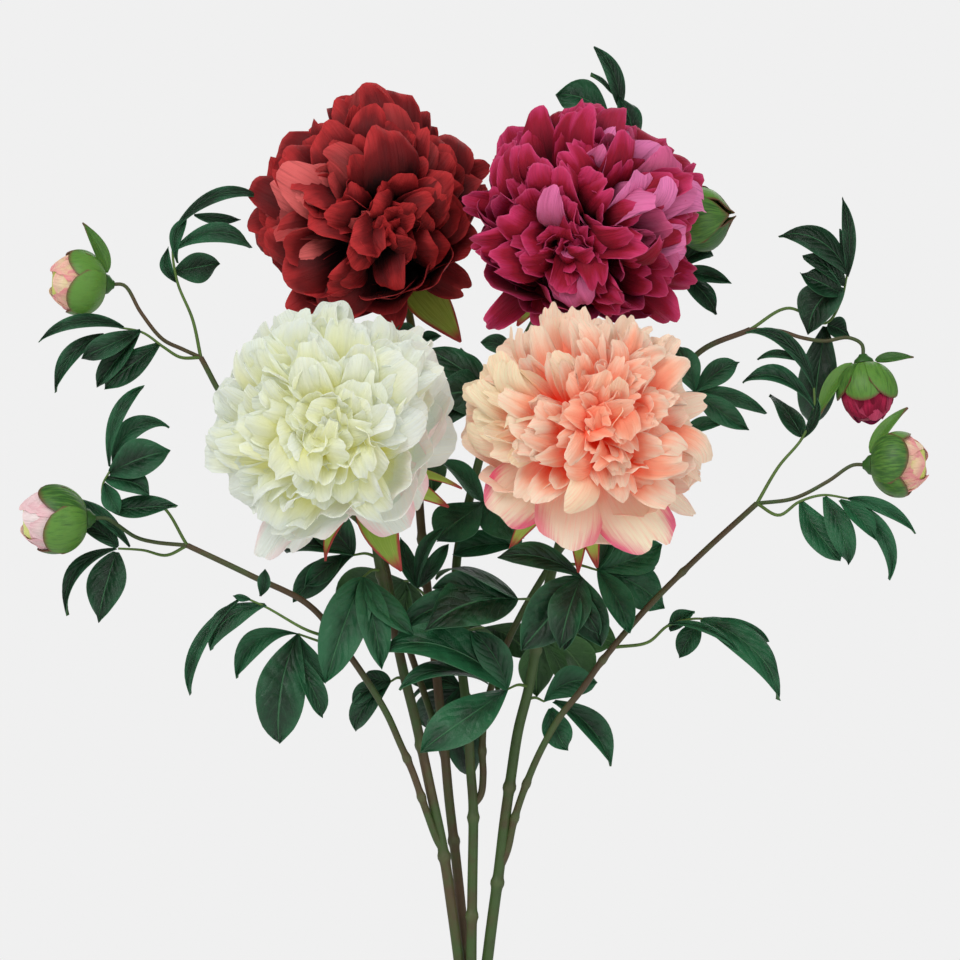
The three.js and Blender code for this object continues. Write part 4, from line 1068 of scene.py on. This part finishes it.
def add_tuft(sheaf, head, habit, draw, angle, around):
    """A few petals one within the other, turned together about their own direction."""
    heart = head["heart"]
    turn = UP.rotation_difference(heart)
    open_share = min(1, angle / math.radians(OPEN_ANGLE))
    lean = draw.uniform(-0.5, 0.5) if draw.random() < 0.85 else draw.uniform(-1.3, 1.3)
    # Tufts towards the pale side are paler, partly as cloth and partly as painted highlight.
    towards_pale_and_lit = max(0, from_pole(turn, angle, around).dot(head["pale_and_lit"]))
    tuft_tone = 0.74 * draw.random() + head.get("pale_and_lit_share", PALE_AND_LIT_TONE) * towards_pale_and_lit**3
    size = habit["heart_width"] + (habit["width"] - habit["heart_width"]) * open_share
    sunk = habit["hollow"] * (1 - open_share) ** 1.5
    for k in range(draw.choice((2, 3, 3))):
        away = from_pole(turn, max(0.03, angle - TUFT_TURN * k + draw.uniform(-0.07, 0.07)),
                         around + draw.uniform(-0.14, 0.14) / max(0.35, math.sin(angle)))
        tip = on_head(head, away, HEAD_RADIUS - sunk - TUFT_STEP * k + draw.uniform(-7, 2))
        inner = from_pole(turn, 0.66 * angle, around)
        root = head["centre"] + inner * ROOT_RADIUS - head["axis"] * (4 + 8 * open_share)
        width = size * (1 - 0.08 * k) * draw.uniform(0.75, 1.3)
        domed = draw.random() < habit["domed"]
        tone = min(1, max(0, tuft_tone + draw.uniform(-0.3, 0.3)))
        points = petal_points(
            PETAL_BLANK, habit, draw, root, tip, heart, width, draw.uniform(0.3, 0.45),
            (0.62, 0.86), lean=lean,
            bend=(-1.6, -0.6) if domed else (-0.2, 0.7),
            curl=(-1.5, -0.3) if domed else (-1.2, 0.4), curl_from=(0.5, 0.7),
            cup=(0, -habit["dome"]) if domed else (0.05, 0.5), fold=(-0.1, 0.1),
            ruffle=(0.8, 2.4), waves=(1, 2.3), phase=(0, 6), roll=(-0.3, 0.3),
            twist=(-0.6, 0.6), sway=(-0.08, 0.08),
        )
        opened = min(1, angle / math.radians(OUTER_ANGLE))
        sheaf.add(PETAL_BLANK, points, tone=tone, guard=0, open=opened)


def make_bloom(name, head, draw):
    habit, axis, heart = HABITS[name], head["axis"], head["heart"]
    sheaf = Sheaf()
    add_guards(sheaf, head, habit, draw)
    turn = UP.rotation_difference(heart)
    shown = [Vector(s[:3]) - head["centre"] for s in head["strays"] if s[4] > BLUSHING_FROM]
    widest = GUARD_ANGLE + math.degrees(heart.angle(axis))
    tufts = round(habit["tufts"] * (widest / TUFTS_WITHIN) ** (1 / SPREAD))
    for i in range(tufts):
        share = ((i + 0.3) / tufts) ** SPREAD
        angle = math.radians(habit["open_from"] + (widest - habit["open_from"]) * share)
        around = GOLDEN * i + draw.uniform(-0.2, 0.2)
        away = from_pole(turn, angle, around)
        hides = any(away.angle(place) < math.radians(HIDING_ANGLE) for place in shown)
        if away.angle(axis) < math.radians(GUARD_ANGLE) and not hides:
            add_tuft(sheaf, head, habit, draw, angle, around)
    petals = sheaf.piece(f"{name}_petals", PETAL_THICKNESS, name)
    # A ball inside the head fills the gaps between the petals. It carries no marks, so it shows the
    # colour at the root of the stops: near black on the red and magenta heads, painted shade deep
    # in the head.
    deselect()
    middle = (head["centre"] - CORE_BACK * axis) * MM
    bpy.ops.mesh.primitive_ico_sphere_add(subdivisions=3, radius=CORE_RADIUS * MM, location=middle)
    core = bpy.context.object
    bpy.ops.object.transform_apply(location=True, rotation=True, scale=True)
    core.data.materials.append(FINISHES[name])
    hand_over(joined([petals, core]), f"{name}_bloom")


# ---- Calyces ------------------------------------------------------------------------------------
SEPAL_BLANK = Blank(8, 14)
SEPAL_THICKNESS = 0.8
CUP = [(0, -7), (3.4, -7), (4.6, -6.2), (7, -2.5), (8.8, 0.5), (9, 3.2), (8.4, 4), (0, 4)]
BUD_CUP = [(0, -3), (2.2, -3), (3.2, -1.6), (5.6, 0.4), (6.2, 2.2), (0, 2.4)]
BACK_SEPALS = (-1.1, 0, 1.1)  # angles about the axis, from the side opposite the first sepal
BACK_SEPAL_REACH, BACK_SEPAL_DROP, BACK_SEPAL_WIDTH = 27, 7, 17


def sepal_outline(v):
    return 0.04 + 0.96 * np.sin(math.pi * np.clip(v, 0, 1) ** 0.72) ** 0.9


def add_sepal(sheaf, draw, root, tip, face, width, **ranges):
    shape = drawn(draw, ranges)
    points = bend_sheet(SEPAL_BLANK, root, tip, face, width, sepal_outline, **shape)
    sheaf.add(SEPAL_BLANK, points, tone=draw.random())


def off_axis(axis, away):
    """The part of a direction that is square to the axis, at length 1."""
    return (away - axis * axis.dot(away)).normalized()


def place_along(piece, place, axis):
    """Moves a piece from the flower's own frame to its place, with +Z along the flower's axis."""
    turn = UP.rotation_difference(axis).to_matrix().to_4x4()
    turn.translation = place * MM
    piece.data.transform(turn)


def make_calyx(name, head, draw):
    calyx, axis = head["calyx"], head["axis"]
    cup = turned(f"{name}_cup", CUP, "bud_sepal", 50)
    place_along(cup, calyx, axis)
    tips = [(Vector(s[:3]), s[3]) for s in head["sepals"]]
    turn = UP.rotation_difference(axis)
    first = turn.inverted() @ (tips[0][0] - calyx)
    for step in BACK_SEPALS:
        around = math.atan2(-first.y, -first.x) + step
        out = BACK_SEPAL_REACH * Vector((math.cos(around), math.sin(around), 0))
        tips.append((calyx + turn @ (out - BACK_SEPAL_DROP * UP), BACK_SEPAL_WIDTH))
    sheaf = Sheaf()
    for tip, width in tips:
        outward = off_axis(axis, tip - calyx)
        add_sepal(
            sheaf, draw, calyx + outward * 6, tip, outward * 0.3 + axis, width,
            bend=(-0.4, -0.8), curl=(0, -0.4), cup=(-0.1, -0.3), twist=(-0.3, 0.3),
            sway=(-0.05, 0.05), ruffle=0.5, phase=(0, 6),
        )
    blades = sheaf.piece(f"{name}_calyx_leaves", SEPAL_THICKNESS, "sepal")
    hand_over(joined([blades, cup]), f"{name}_calyx")


# ---- Buds ---------------------------------------------------------------------------------------
# A bud's sepals reach up to the share `cover` of its length, and its petals to the share `inside`.
# The sepals' tips stand off it by `flare`, or lean in where that is negative. Some buds have
# `bracts`: tip and width.
BUD_BASE = 3
BUD_TOP = 2  # what a bud's length has above its tips
BUD_BLANK = Blank(14, 14)
BUD_LAYERS = 9
BUD_LOBES = 5
COVER = 0.8
FLARE = 1.2


def bud_radius(radius, share):
    """The radius of a closed bud at a share of its length."""
    return radius * np.sin(math.pi * (0.02 + 0.93 * np.clip(share, 0, 1)) ** 0.92) ** 0.48


def wrapped(blank, radius, tall, start, half_angle, reach, lift):
    """A sheet wrapped on a bud: `half_angle` and `lift` may change along and across the sheet."""
    u, v = blank.across, blank.along
    share = v * reach(u)
    angle = start + u * half_angle(share)
    out = bud_radius(radius, share) + lift(u, share)
    return np.stack([out * np.cos(angle), out * np.sin(angle), BUD_BASE + tall * share], axis=1)


def make_bud(name, bud, draw):
    radius = bud["radius"]
    tall = (bud["length"] - BUD_BASE - BUD_TOP) * bud.get("inside", 1)
    shares = np.linspace(0, 0.97, 14)
    side = [(bud_radius(radius - 1.6, share), BUD_BASE + tall * share) for share in shares]
    profile = [(0, BUD_BASE), *side, (0, BUD_BASE + tall * 0.98)]
    core = turned(f"{name}_heart", profile, bud["finish"], 40)
    sheaf = Sheaf()
    for i in range(BUD_LAYERS):
        out = i / (BUD_LAYERS - 1)
        slant = draw.uniform(-0.25, 0.25)
        points = wrapped(
            BUD_BLANK, radius - 1.2 + out, tall + 1.5 * (1 - out),
            2.4 * i + draw.uniform(-0.3, 0.3),
            lambda s: 1.25 - 0.35 * s,
            lambda u: 1 - 0.12 * out - 0.16 * np.abs(u) ** 2.2 + 0.06 * slant * u,
            lambda u, s: 0.9 * np.abs(u) ** 4 * s + 0.5 * np.sin(5 * u + i) * s**2,
        )
        sheaf.add(BUD_BLANK, points, tone=draw.random(), guard=0.3 + 0.7 * out)
    piece = joined([sheaf.piece(f"{name}_petals", PETAL_THICKNESS, bud["finish"]), core])
    place_along(piece, bud["base"], bud["axis"])
    hand_over(piece, name)


def make_bud_calyx(name, bud, draw):
    base, axis = bud["base"], bud["axis"]
    sheaf = Sheaf()
    cover, flare = bud.get("cover", COVER), bud.get("flare", FLARE)
    for i in range(BUD_LOBES):
        start = math.tau * (i + 0.5) / BUD_LOBES + draw.uniform(-0.15, 0.15)
        top = cover * draw.uniform(0.86, 1.04)
        points = wrapped(
            SEPAL_BLANK, bud["radius"], bud["length"] - BUD_BASE - BUD_TOP, start,
            lambda s: 0.95 * (1 - 0.25 * s),
            lambda u: top * (1 - 0.56 * (1 - np.sqrt(1 - 0.97 * u**2))),
            lambda u, s: 1.5 + 0.8 * (i % 2) + 0.3 * np.abs(u) ** 3 + flare * s**5,
        )
        sheaf.add(SEPAL_BLANK, points, tone=draw.random())
    leaves = sheaf.piece(f"{name}_calyx_leaves", SEPAL_THICKNESS, "bud_sepal")
    cup = turned(f"{name}_cup", BUD_CUP, "bud_sepal", 50, steps=24)
    for piece in (leaves, cup):
        place_along(piece, base, axis)
    pieces = [leaves, cup]
    if "bracts" in bud:
        bracts = Sheaf()
        for x, y, z, width in bud["bracts"]:
            tip = Vector((x, y, z))
            outward = off_axis(axis, tip - base)
            add_sepal(bracts, draw, base + outward * 7 + axis * 1.6, tip, FRONT + outward, width,
                      bend=-0.7, cup=0.2, fold=0.1, ruffle=0.4, phase=(0, 6))
        pieces.append(bracts.piece(f"{name}_bracts", SEPAL_THICKNESS, "bud_sepal"))
    hand_over(joined(pieces), f"{name}_sepals")


# ---- Floor and light, in metres -----------------------------------------------------------------
FLOOR_RADIUS = 3.6  # short enough to stay below the picture
BACKGROUND = "F0F0F0"
AMBIENT = 0.66
MIRRORED = 0.12


def make_floor():
    deselect()
    bpy.ops.mesh.primitive_circle_add(vertices=96, radius=FLOOR_RADIUS, fill_type="NGON")
    floor = bpy.context.object
    floor.name = "floor"
    f = Finish("pale_floor")
    place = f.place()
    far = place.length().rising(0.5, 3.2)
    floor.data.materials.append(f.surface(
        base_color=f.mix(far, f.mix(f.noise(place, 2), "DDDDDB", "D8D8D6"), "050505"),
        roughness=0.85,
        emission_color=f.mix(far, "404040", BACKGROUND),
        emission_strength=1,
    ))


def area_light(name, place, size, power):
    data = bpy.data.lights.new(name, "AREA")
    data.shape = "DISK"
    data.size, data.energy = size, power
    light = placed(name, data)
    light.location = place
    towards = Vector((0, 0, 0.5)) - Vector(place)
    light.rotation_euler = towards.to_track_quat("-Z", "Y").to_euler()


def set_light():
    """An even sky, which is darker in what mirrors it and near white behind the object, and 3
    lamps.
    """
    world = bpy.data.worlds.new("studio")
    bpy.context.scene.world = world
    world.use_nodes = True
    tree = world.node_tree
    tree.nodes.clear()
    ray = tree.nodes.new("ShaderNodeLightPath")
    out = tree.nodes.new("ShaderNodeOutputWorld")
    rest = None
    for which, colour, strength in (
        (None, (0.97, 0.98, 1, 1), AMBIENT),
        ("Is Glossy Ray", (1, 1, 1, 1), MIRRORED),
        ("Is Camera Ray", linear(BACKGROUND), 1),
    ):
        sky = tree.nodes.new("ShaderNodeBackground")
        sky.inputs[0].default_value = colour
        sky.inputs[1].default_value = strength
        if which:
            share = tree.nodes.new("ShaderNodeMixShader")
            for socket, source in enumerate((ray.outputs[which], rest, sky.outputs[0])):
                tree.links.new(source, share.inputs[socket])
            sky = share
        rest = sky.outputs[0]
    tree.links.new(rest, out.inputs[0])
    area_light("key", (-1.1, -2.2, 2.4), 1.8, 46)
    area_light("fill", (1.9, -2.0, 0.9), 1.8, 12)
    area_light("back", (0.6, 2.2, 1.8), 1.6, 12)
    bpy.context.scene.view_settings.view_transform = "Standard"


# ---- The whole object ---------------------------------------------------------------------------
set_view()
make_vase()
for name, stem in STEMS.items():
    make_stem(name, stem)
leaf_draw = random.Random(11)
for name, leaf in LEAVES.items():
    make_leaf(name, leaf, leaf_draw)
for i, (name, head) in enumerate(HEADS.items()):
    make_calyx(name, head, random.Random(40 + i))
    make_bloom(name, head, random.Random(70 + i))
for i, (name, bud) in enumerate(BUDS.items()):
    make_bud(name, bud, random.Random(90 + i))
    make_bud_calyx(name, bud, random.Random(120 + i))
make_floor()
set_light()
